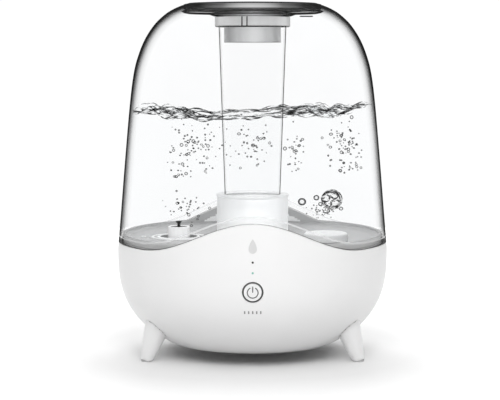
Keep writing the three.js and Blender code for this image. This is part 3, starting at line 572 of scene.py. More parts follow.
# Valve cage: painted light, a glow brightest face on that lifts it out of the shade under the water.
VALVE = milky("valve_plastic", grey(0.93), 0.05, 0.3, painted_glow=[(0.0, 0.22), (0.6, 0.16), (1.0, 0.02)])
# Duct inside the chamber: strong painted light, a glow that makes it read bright white.
DUCT = milky("milky_duct_plastic", grey(0.95), 0.05, 0.3, painted_glow=[(0.0, 0.6), (1.0, 0.5)])
# Smoky nozzle: painted light, a glow brightest face on that makes its middle lighter.
SMOKE = milky(
    "smoky_plastic", grey(0.02), 0.1, 0.15, shine=0.0,
    painted_glow=[(0.0, 0.62), (0.03, 0.5), (0.1, 0.17), (0.35, 0.02), (1.0, 0.01)],
)
SMOKE_DARK = milky("dark_smoky_plastic", grey(0.02), 0.15, 0.15, shine=0.1)
# Pale smoky sleeve: painted light, a glow brightest face on.
SLEEVE = milky(
    "pale_smoky_plastic", grey(0.6), 0.5, 0.2, glow=0.4, streaks=0.25,
    painted_glow=[(0.0, 0.36), (0.1, 0.24), (0.4, 0.06), (1.0, 0.0)],
)
# Collar: painted light, a glow strongest part way from face on to edge on.
COLLAR = milky(
    "collar_plastic", grey(0.75), 0.4, 0.2, glow=0.4, streaks=0.25,
    painted_glow=[(0.0, 0.32), (0.5, 0.38), (0.8, 0.1), (1.0, 0.0)],
)
SILICONE = moulded("grey_silicone", grey(0.55), 0.6, grain=700, depth=0.06)
GREY = moulded("grey_plastic", grey(0.28), 0.4)
DARK_GREY = moulded("dark_grey_plastic", grey(0.09), 0.4)
PALE_GREY = moulded("pale_grey_inlay", grey(0.68), 0.35)
BLACK = moulded("black_plastic", grey(0.02), 0.4)
GREEN = glowing("green_lens", (0.22, 0.5, 0.42), 0.15)
LAMP = moulded("lamp_lens", (0.85, 0.85, 0.78), 0.3)
BOARD = moulded("circuit_board", (0.03, 0.16, 0.07), 0.45, grain=500, depth=0.1, vary=0.15)
STEEL = brushed("stainless_steel", grey(0.62), 0.28)
ALUMINIUM = brushed("aluminium", grey(0.72), 0.35)
BRASS = brushed("brass", (0.62, 0.47, 0.2), 0.3)
MAGNET = moulded("dark_magnet", grey(0.05), 0.35, metallic=0.6)

NODE_LOOKS = {
    "white_gloss": WHITE,
    "white_satin": SATIN,
    "clear_tank": CLEAR,
    "frosted": FROST,
    "smoke": SMOKE,
    "grey_plastic": GREY,
    "black_plastic": BLACK,
    "status_green": GREEN,
    "led_body": LAMP,
    "silicone": SILICONE,
    "circuit_board": BOARD,
    "heat_sink": ALUMINIUM,
    "brass": BRASS,
    "magnet": MAGNET,
    "steel": STEEL,
}
# fill_cap takes grey silicone: painted shade that darkens the cap at the bottom of the neck's well.
OWN_LOOKS = {"air_duct": DUCT, "fill_cap": SILICONE, "valve_cage": VALVE, "valve_stem": BLACK}
for entry in frame["record"]["subparts"]:
    node = frame["nodes"][entry["node"]]
    if not node.material_slots:
        node.data.materials.append(None)
    for material_slot in node.material_slots:
        material_slot.link = "OBJECT"
        material_slot.material = OWN_LOOKS.get(entry["node"], NODE_LOOKS[entry["material_slot"]])


# ---- bowl

COVER_RADIUS = box_mm("bottom_cover")[1][0]
BOWL_WALL = 2.8
LIP = 0.5  # rounding of the bowl's top edge
LEDGE_R, LEDGE_TOP, LEDGE_UNDER = 61.5, 17.3, 14.7  # ledge that the bottom cover meets
bowl_outer = np.array([*bowl_side, *dome[dome[:, 1] < 180]])
bowl_inner = inset(bowl_outer, BOWL_WALL)


def make_bowl():
    count = AROUND * 2

    def side(outline):
        """Rows from just above the widest level to just under the seam."""
        return rows_between(
            outline, lambda a: BOWL_WIDEST + 1, lambda a: seam_point(a, outline)[1] - LIP,
            [i / 8 for i in range(9)],
        )

    rows = [circle(COVER_RADIUS + GAP, BOWL_BOTTOM + 0.6, count)]
    rows.append(circle(COVER_RADIUS + GAP + 0.6, BOWL_BOTTOM, count))
    rows += [circle(r, z, count) for r, z in bowl_rows(40)]
    rows += side(bowl_outer)
    tops = [(a, *seam_point(a, bowl_outer), seam_point(a, bowl_inner)[0]) for a in angles(count)]
    rows.append([around(r_out - LIP, a, z) for a, r_out, z, r_in in tops])
    rows.append([around(r_in + LIP, a, z) for a, r_out, z, r_in in tops])
    rows += side(bowl_inner)[::-1]
    rows += [circle(radius_at(bowl_inner, z), z, count) for z in (80, 60, 40, 26, 19)]
    rows.append(circle(LEDGE_R + 1.5, LEDGE_TOP, count))
    rows.append(circle(LEDGE_R, LEDGE_TOP, count))
    rows.append(circle(LEDGE_R, LEDGE_UNDER, count))
    rows.append(circle(COVER_RADIUS + GAP, LEDGE_UNDER, count))
    return make_piece("bowl", skin(rows, wrap=True), [WHITE, SATIN], sharp=0)


def cutter(x, z, radius, low_y, high_y):
    """A cylinder along Y for cutting a hole."""
    rows = [[(x, low_y, z)]]
    for y in (low_y, high_y):
        rows.append([(x + radius * math.cos(a), y, z + radius * math.sin(a)) for a in angles(SMALL * 2)])
    return make_piece("cutter", skin([*rows, [(x, high_y, z)]]), [SATIN], smooth=False)


def cut(piece, cutters):
    """Cuts the cutters' shapes out of a piece and deletes the cutters."""
    for tool in cutters:
        bpy.context.view_layer.update()
        modifier = piece.modifiers.new("hole", "BOOLEAN")
        modifier.operation = "DIFFERENCE"
        modifier.solver = "EXACT"
        modifier.object = tool
        with bpy.context.temp_override(object=piece, active_object=piece):
            bpy.ops.object.modifier_apply(modifier=modifier.name)
        bpy.data.objects.remove(tool)


def exact_normals(piece, outline):
    """Gives the faces on a revolved outline its exact normals and the first material.

    The other faces take the second material.
    """
    outline = np.array(outline)
    way = np.gradient(outline, axis=0)
    mesh = piece.data
    points = np.array([v.co for v in mesh.vertices]) / MM
    radius = np.hypot(points[:, 0], points[:, 1])
    level = points[:, 2]
    off = np.abs(radius - np.interp(level, outline[:, 1], outline[:, 0]))
    near = (off < 0.12) & (level > outline[0, 1] + GAP)
    tr = np.interp(level, outline[:, 1], way[:, 0])
    tz = np.interp(level, outline[:, 1], way[:, 1])
    size = np.hypot(tr, tz)
    nr, nz = tz / size, -tr / size
    flat = np.maximum(radius, 1e-6)
    normals = np.stack([nr * points[:, 0] / flat, nr * points[:, 1] / flat, nz], axis=1)
    loops = np.zeros((len(mesh.loops), 3))
    for face in mesh.polygons:
        on_outside = all(near[v] for v in face.vertices)
        face.material_index = 0 if on_outside else 1
        if on_outside:
            for loop in face.loop_indices:
                loops[loop] = normals[mesh.loops[loop].vertex_index]
    mesh.normals_split_custom_set([tuple(n) for n in loops])


BUTTON_Z, BUTTON_R = middle_mm("power_button")[2], half_width("power_button")
BEZEL_R = half_width("button_bezel")
INLET_Z, INLET_R = middle_mm("power_inlet")[2], half_width("power_inlet")

bowl = make_bowl()
cut(bowl, [
    cutter(0, BUTTON_Z, BEZEL_R + GAP, -140, -100),
    cutter(0, INLET_Z, INLET_R + GAP, 85, 140),
])
exact_normals(bowl, bowl_outer)
stand_for(bowl, "base", "white_gloss", "base_bowl")


# ---- front of the bowl


def on_front(x, z, lift=0.0):
    """The point of the bowl's front at x and z, moved out by lift."""
    r = radius_at(body, z) + lift
    return (x, -math.sqrt(max(r * r - x * x, 0)), z)


def front_ring(name, z, path, material, count=96, arc=TAU, start=0.0):
    """A ring, or an arc of one, on the bowl's front. path is the radii and lifts of its section."""
    closed = arc == TAU
    turns = [start + arc * j / (count if closed else count - 1) for j in range(count)]
    rows = []
    for a in turns:
        rows.append([on_front(r * math.cos(a), z + r * math.sin(a), lift) for r, lift in path])
    points, faces = skin(rows, wrap=closed)
    if not closed:
        last = (count - 1) * len(path)
        faces.append(tuple(range(len(path)))[::-1])
        faces.append(tuple(last + i for i in range(len(path))))
    return make_piece(name, (points, faces), [material])


def front_pad(name, outline, x, z, high, low, material, soft=0.85):
    """A filled shape on the bowl's front, from low to high above its surface."""
    rows = [[on_front(x, z, high)]]
    for scale, lift in ((0.5, high), (soft, high), (1.0, high - (high - low) * 0.3), (1.0, low)):
        rows.append([on_front(x + px * scale, z + pz * scale, lift) for px, pz in outline])
    rows.append([on_front(x, z, low)])
    return make_piece(name, skin(rows), [material])


def round_outline(radius, count=48):
    return [(radius * math.cos(a), radius * math.sin(a)) for a in angles(count)]


def bar_outline(half_x, half_z, count=32):
    """A rounded rectangle."""
    out = []
    for a in angles(count):
        c, s = math.cos(a), math.sin(a)
        out.append((half_x * math.copysign(abs(c) ** 0.35, c), half_z * math.copysign(abs(s) ** 0.35, s)))
    return out


bezel_inner = BUTTON_R + 0.25
bezel = front_ring(
    "button_ring",
    BUTTON_Z,
    [
        (bezel_inner, -3.5), (bezel_inner, 0.1), (bezel_inner + 0.15, 0.25),
        (BEZEL_R - 0.15, 0.25), (BEZEL_R, 0.1), (BEZEL_R, -3.5),
    ],
    DARK_GREY,
)
stand_for(bezel, "base", "grey_plastic", "button_bezel")

button = front_pad("button_face", round_outline(BUTTON_R, 96), 0, BUTTON_Z, 0.1, -4.5, WHITE, 0.96)
stand_for(button, "button", "white_gloss", "power_button")

SIGN_R, SIGN_HALF = 4.4, 0.42
sign_gap = math.radians(52)
sign = front_ring(
    "power_sign_arc",
    BUTTON_Z - 0.3,
    [
        (SIGN_R - SIGN_HALF, 0.02), (SIGN_R - SIGN_HALF, 0.2),
        (SIGN_R + SIGN_HALF, 0.2), (SIGN_R + SIGN_HALF, 0.02),
    ],
    DARK_GREY,
    count=64,
    arc=TAU - sign_gap,
    start=math.pi / 2 + sign_gap / 2,
)
stand_for(sign, "button", "grey_plastic")
bar = front_pad("power_sign_bar", bar_outline(SIGN_HALF, 2.6), 0, BUTTON_Z + 2.4, 0.2, 0.02, DARK_GREY)
stand_for(bar, "button", "grey_plastic")

for node, name, material, slot in (
    ("water_light_pipe", "water_light", BLACK, "black_plastic"),
    ("status_light_pipe", "status_light", GREEN, "status_green"),
):
    light = front_pad(name, round_outline(1.05, 32), 0, middle_mm(node)[2], 0.22, -1.5, material, 0.7)
    stand_for(light, "base", slot, node)


def drop_outline(half, low, high, count=48):
    """A water drop, pointing up."""
    out = []
    middle = low + half
    for turn in angles(count):
        a = turn - math.pi / 2
        c, s = math.cos(a), math.sin(a)
        if s <= 0:
            out.append((half * c, middle + half * s))
        else:
            out.append((half * c * (1 - s) ** 0.45 * (1 + 0.35 * s), middle + (high - middle) * s))
    return out


badge_top, badge_middle = box_mm("badge")[1][2], middle_mm("badge")[2]
half_height = badge_top - badge_middle
badge = front_pad(
    "drop_mark",
    drop_outline(half_width("badge"), -half_height, half_height),
    0, badge_middle, 0.16, -0.3, PALE_GREY, 0.9,
)
stand_for(badge, "base", "grey_plastic", "badge")

TICKS_Z, TICK_PITCH = 51.7, 3.3
for i in range(5):
    tick = front_pad(f"tick_{i + 1}", bar_outline(0.6, 1.3), (i - 2) * TICK_PITCH, TICKS_Z, 0.12, -0.3, GREY)
    stand_for(tick, "base", "grey_plastic")


# ---- power inlet


def around_y(name, profile, z, material, count=48):
    """A piece revolved about a line along Y. profile is (radius, y) pairs."""
    rounded = fillet(profile, 0.3, closed=profile[0][0] != 0)
    rows = []
    for r, y in rounded:
        if r < 1e-6:
            rows.append([(0, y, z)])
        else:
            rows.append([(r * math.cos(a), y, z - r * math.sin(a)) for a in angles(count)])
    return make_piece(name, skin(rows, wrap=profile[0][0] != 0), [material])


inlet_low, inlet_high = box_mm("power_inlet")
inlet_face = inlet_high[1] - 0.2
inlet = around_y(
    "inlet_socket",
    [
        (0, inlet_low[1]), (5, inlet_low[1]), (5, 99), (INLET_R, 99), (INLET_R, inlet_face),
        (3.6, inlet_face), (3, inlet_face - 0.6), (3, 95.2), (0, 95.2),
    ],
    INLET_Z,
    BLACK,
)
stand_for(inlet, "base", "black_plastic", "power_inlet")


# ---- legs

LEG_AZIMUTHS = {"left": -149, "right": -31, "rear": 90}
FOOT_RADIUS, LEAN = 106.8, 0.389
LEG_LOW, LEG_SLOPE = 5.4, 0.18  # radius at the foot, and its growth along the leg
SOLE = 2.6  # height of the rounded foot


def leg_point(along, radius, angle):
    """A point of the leg that points to +X: along its leaning axis, at a radius and angle."""
    lean = math.atan(LEAN)
    axis = np.array([-math.sin(lean), 0, math.cos(lean)])
    across = np.array([math.cos(lean), 0, math.sin(lean)])
    side = np.array([0, 1, 0])
    centre = np.array([FOOT_RADIUS, 0, 0]) + axis * along
    return centre + radius * (across * math.cos(angle) + side * math.sin(angle))


def outside_bowl(point):
    """Distance outside the bowl's surface, near enough for a point close to it."""
    r = math.hypot(point[0], point[1])
    best = np.hypot(body[:, 0] - r, body[:, 1] - point[2])
    i = int(np.argmin(best))
    inside = point[2] > BOWL_BOTTOM and r < radius_at(body, point[2])
    return -best[i] if inside else best[i]


def leg_top(angle, clearance):
    """How far along the leg its side comes within a clearance of the bowl."""
    low, high = 8.0, 60.0
    for _ in range(22):
        middle = (low + high) / 2
        p = leg_point(middle, LEG_LOW + LEG_SLOPE * middle, angle)
        if outside_bowl(p) > clearance:
            low = middle
        else:
            high = middle
    return low


def make_leg(name, azimuth):
    foot = box_mm("leg_" + name)[0][2]
    count = 48
    tops = [(a, leg_top(a, 0.7)) for a in angles(count)]
    foot_r = LEG_LOW + LEG_SLOPE * foot
    rows = [[leg_point(foot, 0, 0)]]
    for share, up in ((0.8, 0.0), (0.9, 0.3), (0.97, 1.0), (1.0, SOLE)):
        rows.append([leg_point(foot + up, foot_r * share, a) for a in angles(count)])
    for share in (0.15, 0.3, 0.45, 0.6, 0.75, 0.9, 0.97, 1.0):
        row = []
        for a, top in tops:
            along = foot + SOLE + (top - foot - SOLE) * share
            row.append(leg_point(along, LEG_LOW + LEG_SLOPE * along - (0.25 if share == 1.0 else 0), a))
        rows.append(row)
    # From here on the leg's top strip, which runs into the bowl, is grey: painted shade in the gap between
    # leg and bowl.
    white = (len(rows) - 1) * count
    for further in (0.1, 4.0):
        rows.append([leg_point(top + further, LEG_LOW + LEG_SLOPE * top - 1, a) for a, top in tops])
    rows.append([leg_point(float(np.mean([top for a, top in tops])) + 4, 0, 0)])
    turn = math.radians(azimuth)
    c, s = math.cos(turn), math.sin(turn)
    turned = [[(x * c - y * s, x * s + y * c, max(z, foot)) for x, y, z in row] for row in rows]
    shape = skin(turned)
    slots = [0 if i < white else 1 for i in range(len(shape[1]))]
    return make_piece(f"leg_{name}_shape", shape, [WHITE, GREY], slots)


for name, azimuth in LEG_AZIMUTHS.items():
    stand_for(make_leg(name, azimuth), "base", "white_gloss", "leg_" + name)


# ---- tank

RECESS_R, RECESS_Z = 60.8, 299.6
tank_inner = inset(dome, TANK_WALL)
tank_inner = tank_inner[tank_inner[:, 0] > RECESS_R + TANK_WALL]
band_inner = inset(dome, 3.2)
RING_HEIGHT, BAND_HEIGHT = 5.2, 6.4  # tinted ring, and the step above it with a painted highlight
FIXED_Z = 150  # above this height the rows of the tank are level
THIRDS = [0, 1 / 3, 2 / 3, 1]


def make_tank():
    count = AROUND * 2
    rows, marks = [], []

    def add(new, mark, join):
        """Adds rows whose strips have one material, and the strip up to the next rows another."""
        rows.extend(new)
        marks.extend([mark] * (len(new) - 1) + [join])

    def above_seam(outline, offset):
        return lambda angle: seam_point(angle, outline, offset)[1]

    def between(outline, from_offset, to_offset, shares):
        return rows_between(outline, above_seam(outline, from_offset), above_seam(outline, to_offset), shares)

    def rising(outline):
        return rows_between(outline, above_seam(outline, BAND_HEIGHT), lambda angle: FIXED_Z, THIRDS[1:])

    outside, ring, inside, ring_edge = range(4)
    add(between(dome, GAP, RING_HEIGHT, THIRDS), ring, ring_edge)
    add(between(dome, BAND_HEIGHT, BAND_HEIGHT, [0]), ring_edge, outside)
    add(rising(dome), outside, outside)
    add([circle(r, z, count) for r, z in dome if z > FIXED_Z + 2], outside, outside)
    under = RECESS_Z - TANK_WALL
    recess = [
        (RECESS_R + 0.3, 304.4), (RECESS_R, 304.0), (RECESS_R, RECESS_Z + 0.6), (RECESS_R - 0.6, RECESS_Z),
        (36, RECESS_Z - 0.6), (32.2, 298), (30.4, 297.2), (30.2, 296.4), (30.2, 287.8), (31.4, 287.8),
        (31.4, 294.9), (33.3, 295.0), (35, 295.4), (37.2, 296.3), (40.5, under), (56, under),
        (60, under + 0.8), (62.6, under + 2.4),
    ]
    add([circle(r, z, count) for r, z in recess[:3]], inside, outside)
    add([circle(r, z, count) for r, z in recess[3:]], outside, inside)
    add([circle(r, z, count) for r, z in tank_inner[::-1] if z > FIXED_Z + 2], inside, inside)
    add(rising(tank_inner)[::-1], inside, inside)
    add(between(band_inner, RING_HEIGHT, BAND_HEIGHT, [1, 0]), ring_edge, ring)
    add(between(band_inner, GAP, RING_HEIGHT, THIRDS[-2::-1]), ring, ring)
    slots = [mark for mark in marks for _ in range(count)]
    materials = [CLEAR, BAND, CLEAR_INSIDE, RING_HIGHLIGHT]
    return make_piece("tank_dome", skin(rows, wrap=True), materials, slots, sharp=50)


stand_for(make_tank(), "tank", "clear_tank", "tank_shell")

CAP = tuple(middle_mm("fill_cap")[:2])
FLOAT, FLOAT_R = tuple(middle_mm("float_cover")[:2]), half_width("float_cover")
FLOOR_TOP, FLOOR_UNDER = 102.3, 99.3
skirt_outer = inset(dome, 3.5)
skirt_inner = inset(dome, 5.9)
LEAST_LIP = 3.6  # the skirt's height above the tank's floor where the seam is low
RIM_DEPTH = 7.0  # painted shade: grey strip under the skirt's top


def skirt_top(angle):
    return max(seam_point(angle, skirt_inner, -0.4)[1], FLOOR_TOP + LEAST_LIP)


def make_tank_bottom():
    count = AROUND * 2
    edge = skirt_outer[0, 0] - 0.3
    rows = [[(0, 0, FLOOR_UNDER)], circle(60, FLOOR_UNDER, count), circle(edge - 1, FLOOR_UNDER, count)]
    rows += rows_between(skirt_outer, lambda a: FLOOR_UNDER + 0.8, skirt_top, (0, 0.3, 0.6, 0.9, 1.0))
    rows += rows_between(
        skirt_inner, lambda a: FLOOR_TOP + 3, skirt_top,
        (1.0, 0.95, 0.9, 0.85, 0.8, 0.75, 0.7, 0.6, 0.45, 0.3, 0.15, 0),
    )
    inner = skirt_inner[0, 0]
    rows += [circle(inner - dr, FLOOR_TOP + dz, count) for dr, dz in ((0.9, 1.3), (2.4, 0.35), (4.4, 0.0))]
    rows += [circle(70, FLOOR_TOP, count), [(0, 0, FLOOR_TOP)]]
    return make_piece("tank_floor", skin(rows), [TANK_FLOOR_SHADE, WALL_PALE], sharp=0)


def z_cutter(centre, radius, low, high):
    """A cylinder along Z for cutting a hole."""
    walls = [circle(radius, z, NECK, centre) for z in (low, high)]
    return make_piece("cutter", skin([[(*centre, low)], *walls, [(*centre, high)]]), [SATIN], smooth=False)


tank_floor = make_tank_bottom()
floor_holes = ((CAP, 16), ((0, 0), 31.7), (FLOAT, 17.5))
cut(tank_floor, [z_cutter(place, radius, 90, 110) for place, radius in floor_holes])
tank_floor.data.set_sharp_from_angle(angle=math.radians(35))
tank_floor.data.materials.append(SKIRT_RIM_SHADE)
# Level faces take the tank floor's painted shade, upright faces the skirt's plastic, and the strip under the
# skirt's inner top the rim's painted shade.
for face in tank_floor.data.polygons:
    x, y, z = face.center / MM
    inward = face.normal.x * x + face.normal.y * y < 0
    rim = inward and z > skirt_top(math.atan2(y, x)) - RIM_DEPTH and math.hypot(x, y) > 90
    face.material_index = 2 if rim else 1 if abs(face.normal.z) < 0.7 else 0
stand_for(tank_floor, "tank", "clear_tank", "tank_bottom")
neck = lathe(
    "fill_neck",
    [
        (16, 90), (18.2, 90), (18.2, FLOOR_UNDER), (19.4, FLOOR_TOP + 0.2),
        (18.2, FLOOR_TOP + 0.9), (16, FLOOR_TOP + 0.9),
    ],
    SATIN, centre=CAP,
)
# Painted shade: the neck's inside is grey, darker than the white neck, where it falls into the filler hole.
recolour(neck, GREY, lambda x, y, z: math.hypot(x - CAP[0], y - CAP[1]) < 16.6)
stand_for(neck, "tank", "white_satin")
outer_ring = lathe(
    "floor_ring",
    [(22.2, FLOOR_TOP - 0.4), (24.4, FLOOR_TOP - 0.4), (24.4, FLOOR_TOP + 0.7), (22.2, FLOOR_TOP + 0.7)],
    SATIN, centre=CAP,
)
stand_for(outer_ring, "tank", "white_satin")

for i, (x, radius) in enumerate(((-95.5, 2.6), (-89.0, 2.1))):
    y = CAP[1] - 3
    stud = lathe(
        f"floor_stud_{i + 1}",
        [
            (0, FLOOR_TOP + 0.3), (radius * 0.5, FLOOR_TOP + 0.3), (radius * 0.6, FLOOR_TOP + 1.2),
            (radius, FLOOR_TOP + 1.2), (radius, FLOOR_TOP - 0.2), (0, FLOOR_TOP - 0.2),
        ],
        SATIN, count=SMALL, centre=(x, y), round_by=0.2,
    )
    recolour(stud, BLACK, lambda px, py, pz: pz < FLOOR_TOP + 1.0 and math.hypot(px - x, py - y) < 1.4)
    stand_for(stud, "tank", "white_satin")


def cage_ring(name, inner, outer, chamfer, height, material, slot, round_by):
    """A flat ring on top of the valve's cage."""
    low, high = CAGE_TOP + 0.05, CAGE_TOP + height
    profile = [(inner, low), (outer, low), (outer, high), (inner + chamfer, high)]
    ring = lathe(name, profile, material, centre=CAP, round_by=round_by)
    stand_for(ring, "cap", slot)


cage_high = box_mm("valve_cage")[1]
CAGE_TOP, CAGE_R = cage_high[2], cage_high[0] - CAP[0]
cage_ring("cage_rim", CAGE_R - 1.6, CAGE_R, 0.2, 1, VALVE, "white_satin", 0.25)
cage_ring("cage_top", 2.2, CAGE_R - 1.8, 0, 0.45, BLACK, "black_plastic", 0.1)

drum_low, drum_top = (corner[2] for corner in box_mm("float_cover"))
float_profile = [
    (0, drum_top - 1.8), (FLOAT_R - 2.4, drum_top - 2.2), (FLOAT_R - 2.2, drum_low),
    (FLOAT_R, drum_low), (FLOAT_R - 0.5, drum_top - 1.6), (FLOAT_R - 1.8, drum_top - 0.6),
    (9, drum_top), (0, drum_top),
]
drum = lathe("float_drum", float_profile, SATIN, centre=FLOAT)
stand_for(drum, "tank", "white_satin", "float_cover")

chamber_low, chamber_top = (corner[2] for corner in box_mm("mist_chamber"))
chamber = lathe(
    "chamber_body",
    [
        (29.2, chamber_low), (31.4, chamber_low), (31.4, 102.6), (34.4, 102.6), (34.4, 104.2),
        (31.4, 105), (31.4, chamber_top - 2.4), (32, chamber_top - 2), (32, chamber_top),
        (25.3, chamber_top), (25.3, chamber_top - 3.2), (22.5, chamber_top - 3.2),
        (22.5, chamber_top - 5.2), (29.2, chamber_top - 5.2),
    ],
    FROST, count=96,
)
stand_for(chamber, "tank", "frosted", "mist_chamber")

tube_low, tube_high = (corner[2] for corner in box_mm("mist_tube"))
TUBE_FOOT, TUBE_HEAD = 24.5, 29.7  # outer radius at the tube's ends


def tube_radius(z):
    """Outside of the mist tube."""
    return TUBE_FOOT + (TUBE_HEAD - TUBE_FOOT) * (z - tube_low) / (tube_high - tube_low)


tube = lathe(
    "tube_body",
    [(TUBE_FOOT - 2, tube_low), (TUBE_FOOT, tube_low), (TUBE_HEAD, tube_high), (TUBE_HEAD - 2, tube_high)],
    TUBE_CLEAR, count=96,
)
recolour(tube, TUBE_INSIDE, lambda x, y, z: math.hypot(x, y) < tube_radius(z) - 1.2)
stand_for(tube, "tank", "clear_tank", "mist_tube")

collar_low, collar_high = (corner[2] for corner in box_mm("tube_collar"))
collar = lathe(
    "collar_body",
    [
        (30.1, collar_low), (32, collar_low), (33, collar_low + 1), (33, collar_high),
        (31.7, collar_high), (31.7, 287.5), (30.1, 287.5),
    ],
    COLLAR, count=96,
)
recolour(collar, SMOKE_DARK, lambda x, y, z: z < collar_low + 1.1)
stand_for(collar, "tank", "smoke", "tube_collar")


def collar_rib(name, from_angle, to_angle):
    """An upright rib on the collar's front, between two angles in degrees."""
    r, front = 33.05, 33.6
    section = [(r, collar_low + 1), (front, collar_low + 1.2), (front, collar_high - 0.2), (r, collar_high)]
    rows = []
    for share in THIRDS:
        a = math.radians(from_angle + (to_angle - from_angle) * share)
        rows.append([around(q, a, z) for q, z in section])
    points, faces = skin(rows)
    faces += [(0, 1, 2, 3), (15, 14, 13, 12)]
    rib = make_piece(name, (points, faces), [SMOKE_DARK], smooth=False)
    stand_for(rib, "tank", "smoke")


collar_rib("collar_rib_left", -106.6, -105.0)
collar_rib("collar_rib_right", -99.0, -97.4)


# ---- nozzle

DISH_R, DISC_R = half_width("nozzle_dish"), half_width("nozzle_disc")
dish_low = box_mm("nozzle_dish")[0][2]
disc_low, disc_high = (corner[2] for corner in box_mm("nozzle_disc"))
dish = lathe(
    "dish_body",
    [
        (22.6, dish_low), (24.8, dish_low), (24.8, 299.6), (26, 300), (DISH_R - 1.5, 300),
        (DISH_R, 301.5), (DISH_R, 305.4), (57.7, 306), (57.7, 302.3), (22.6, 302.3),
    ],
    SMOKE, count=AROUND,
)
recolour(dish, SLEEVE, lambda x, y, z: z < 299 and math.hypot(x, y) < 30)
recolour(dish, SMOKE_DARK, lambda x, y, z: z < dish_low + 0.9)
stand_for(dish, "nozzle", "smoke", "nozzle_dish")


def block(name, low, high, material, bevel=0.5):
    """A box with rounded edges."""
    (x0, y0, z0), (x1, y1, z1) = low, high
    corners = [(x, y, z) for z in (z0, z1) for x, y in ((x0, y0), (x1, y0), (x1, y1), (x0, y1))]
    sides = [(3, 2, 1, 0), (4, 5, 6, 7), (0, 1, 5, 4), (1, 2, 6, 5), (2, 3, 7, 6), (3, 0, 4, 7)]
    piece = make_piece(name, (corners, sides), [material])
    rounding = piece.modifiers.new("rounding", "BEVEL")
    rounding.width = bevel * MM
    rounding.segments = 3
    return piece


lock_tab = block("lock_tab", (42.2, -4, 297.3), (51.8, 4, 300.2), SLEEVE)
stand_for(lock_tab, "nozzle", "smoke")
lock_sill = block("lock_sill", (41.4, -5, 294.6), (52.6, 5, 295.6), SMOKE_DARK, 0.3)
stand_for(lock_sill, "tank", "clear_tank")


def make_disc():
    profile = [
        (0, 302.7), (20.1, 302.7), (20.1, disc_low), (22.1, disc_low), (22.1, 302.7),
        (DISC_R, 302.7), (DISC_R, disc_high - 0.8), (DISC_R - 1.4, disc_high), (28, disc_high),
        (22, disc_high - 1.2), (0, disc_high - 1.2),
    ]
    return lathe("disc_body", profile, SMOKE, count=AROUND, round_by=0.3)


def outlet_cutter():
    rows = []
    for z in (295, 312):
        rows.append([(13 * math.cos(a), -6 + 6 * math.sin(a), z) for a in angles(64)])
    return make_piece("cutter", skin([[(0, -6, 295)], *rows, [(0, -6, 312)]]), [SMOKE_DARK], smooth=False)


disc = make_disc()
cut(disc, [outlet_cutter()])
disc.data.set_sharp_from_angle(angle=math.radians(35))
stand_for(disc, "nozzle_turner", "smoke", "nozzle_disc")


# ---- water and bubbles

WATER_Z = 213.0
WAVE_REACH = 34.0
PAST_CHAMBER = 33  # inner radius of the water beside the mist chamber
random.seed(11)
waves = []
for _ in range(34):
    direction = random.uniform(0, TAU)
    length = random.uniform(7, WAVE_REACH)
    waves.append((math.cos(direction), math.sin(direction), TAU / length, random.uniform(0, TAU), length))


def hump(x, middle, width):
    return math.exp(-(((x - middle) / width) ** 2))


def wave_height(x, y):
    """Height of the water above its mean level: choppy on both sides, calmer in the middle."""
    chop = 0.25 + 1.25 * hump(x, -78, 32) + 1.25 * hump(x, 58, 30)
    total = 0.0
    for dx, dy, rate, phase, length in waves:
        total += (length / WAVE_REACH) * math.sin((x * dx + y * dy) * rate + phase)
    swell = 6.0 * hump(x, 100, 12) - 4.6 * hump(x, -34, 26) - 2.4 * hump(x, 2, 16)
    return chop * 0.62 * total + swell


def make_water():
    count = 256
    steps = 64
    outer = inset(dome, TANK_WALL + 0.5)
    room = 0.4  # between the water and the mist tube
    rows = []
    for z, in_from_wall in ((104, 6.5), (125, 7), (139, 0), (160, 0), (185, 0), (203, 0)):
        rows.append(circle(radius_at(outer, z) - in_from_wall, z, count))
    side_rows = len(rows)
    r_wall = radius_at(outer, WATER_Z)
    for i in range(steps + 1):
        r = r_wall + (tube_radius(WATER_Z) + room - r_wall) * i / steps
        rows.append([(x, y, z + wave_height(x, y)) for x, y, z in circle(r, WATER_Z, count)])
    rows += [circle(tube_radius(z) + room, z, count) for z in (203, 185, 160, 141)]
    rows += [circle(PAST_CHAMBER, z, count) for z in (chamber_top + 1, 106)]
    shape = skin(rows, wrap=True)
    slots = [1 if side_rows <= i // count < side_rows + steps else 0 for i in range(len(shape[1]))]
    return make_piece("water", shape, [WATER_SIDE, WATER], slots, sharp=0)


water = make_water()
cut(water, [z_cutter(FLOAT, FLOAT_R + 0.3, 100, drum_top + 0.3)])
stand_for(water, "tank", "water")


def ball(centre, radius, squash):
    """Points and faces of a ball, flattened by squash."""
    x, y, middle = centre
    rings = 8
    rows = [[(x, y, middle - radius * squash)]]
    for i in range(1, rings):
        a = math.pi * i / rings - math.pi / 2
        rows.append(circle(radius * math.cos(a), middle + radius * squash * math.sin(a), 14, (x, y)))
    rows.append([(x, y, middle + radius * squash)])
    return skin(rows)


def bubble_group(name, balls, material):
    """One piece of many bubbles, each with a centre, a radius and its flattening."""
    points, faces = [], []
    for centre, radius, squash in balls:
        new_points, new_faces = ball(centre, radius, squash)
        faces += [tuple(i + len(points) for i in face) for face in new_faces]
        points += new_points
    stand_for(make_piece(name, (points, faces), [material]), "tank", "water")


def scattered(centre, spread, number, sizes):
    """Bubbles scattered round a centre, closer together towards its middle."""
    balls = []
    for _ in range(number):
        place = [c + max(-1.6, min(1.6, random.gauss(0, 0.6))) * w for c, w in zip(centre, spread)]
        ball_size, squash = random.uniform(*sizes), random.uniform(0.75, 1.05)
        over_stem = math.hypot(place[0] - CAP[0], place[1] - CAP[1]) < STEM_REACH and place[2] < STEM_TOP
        if not over_stem:
            balls.append((tuple(place), ball_size, squash))
    return balls


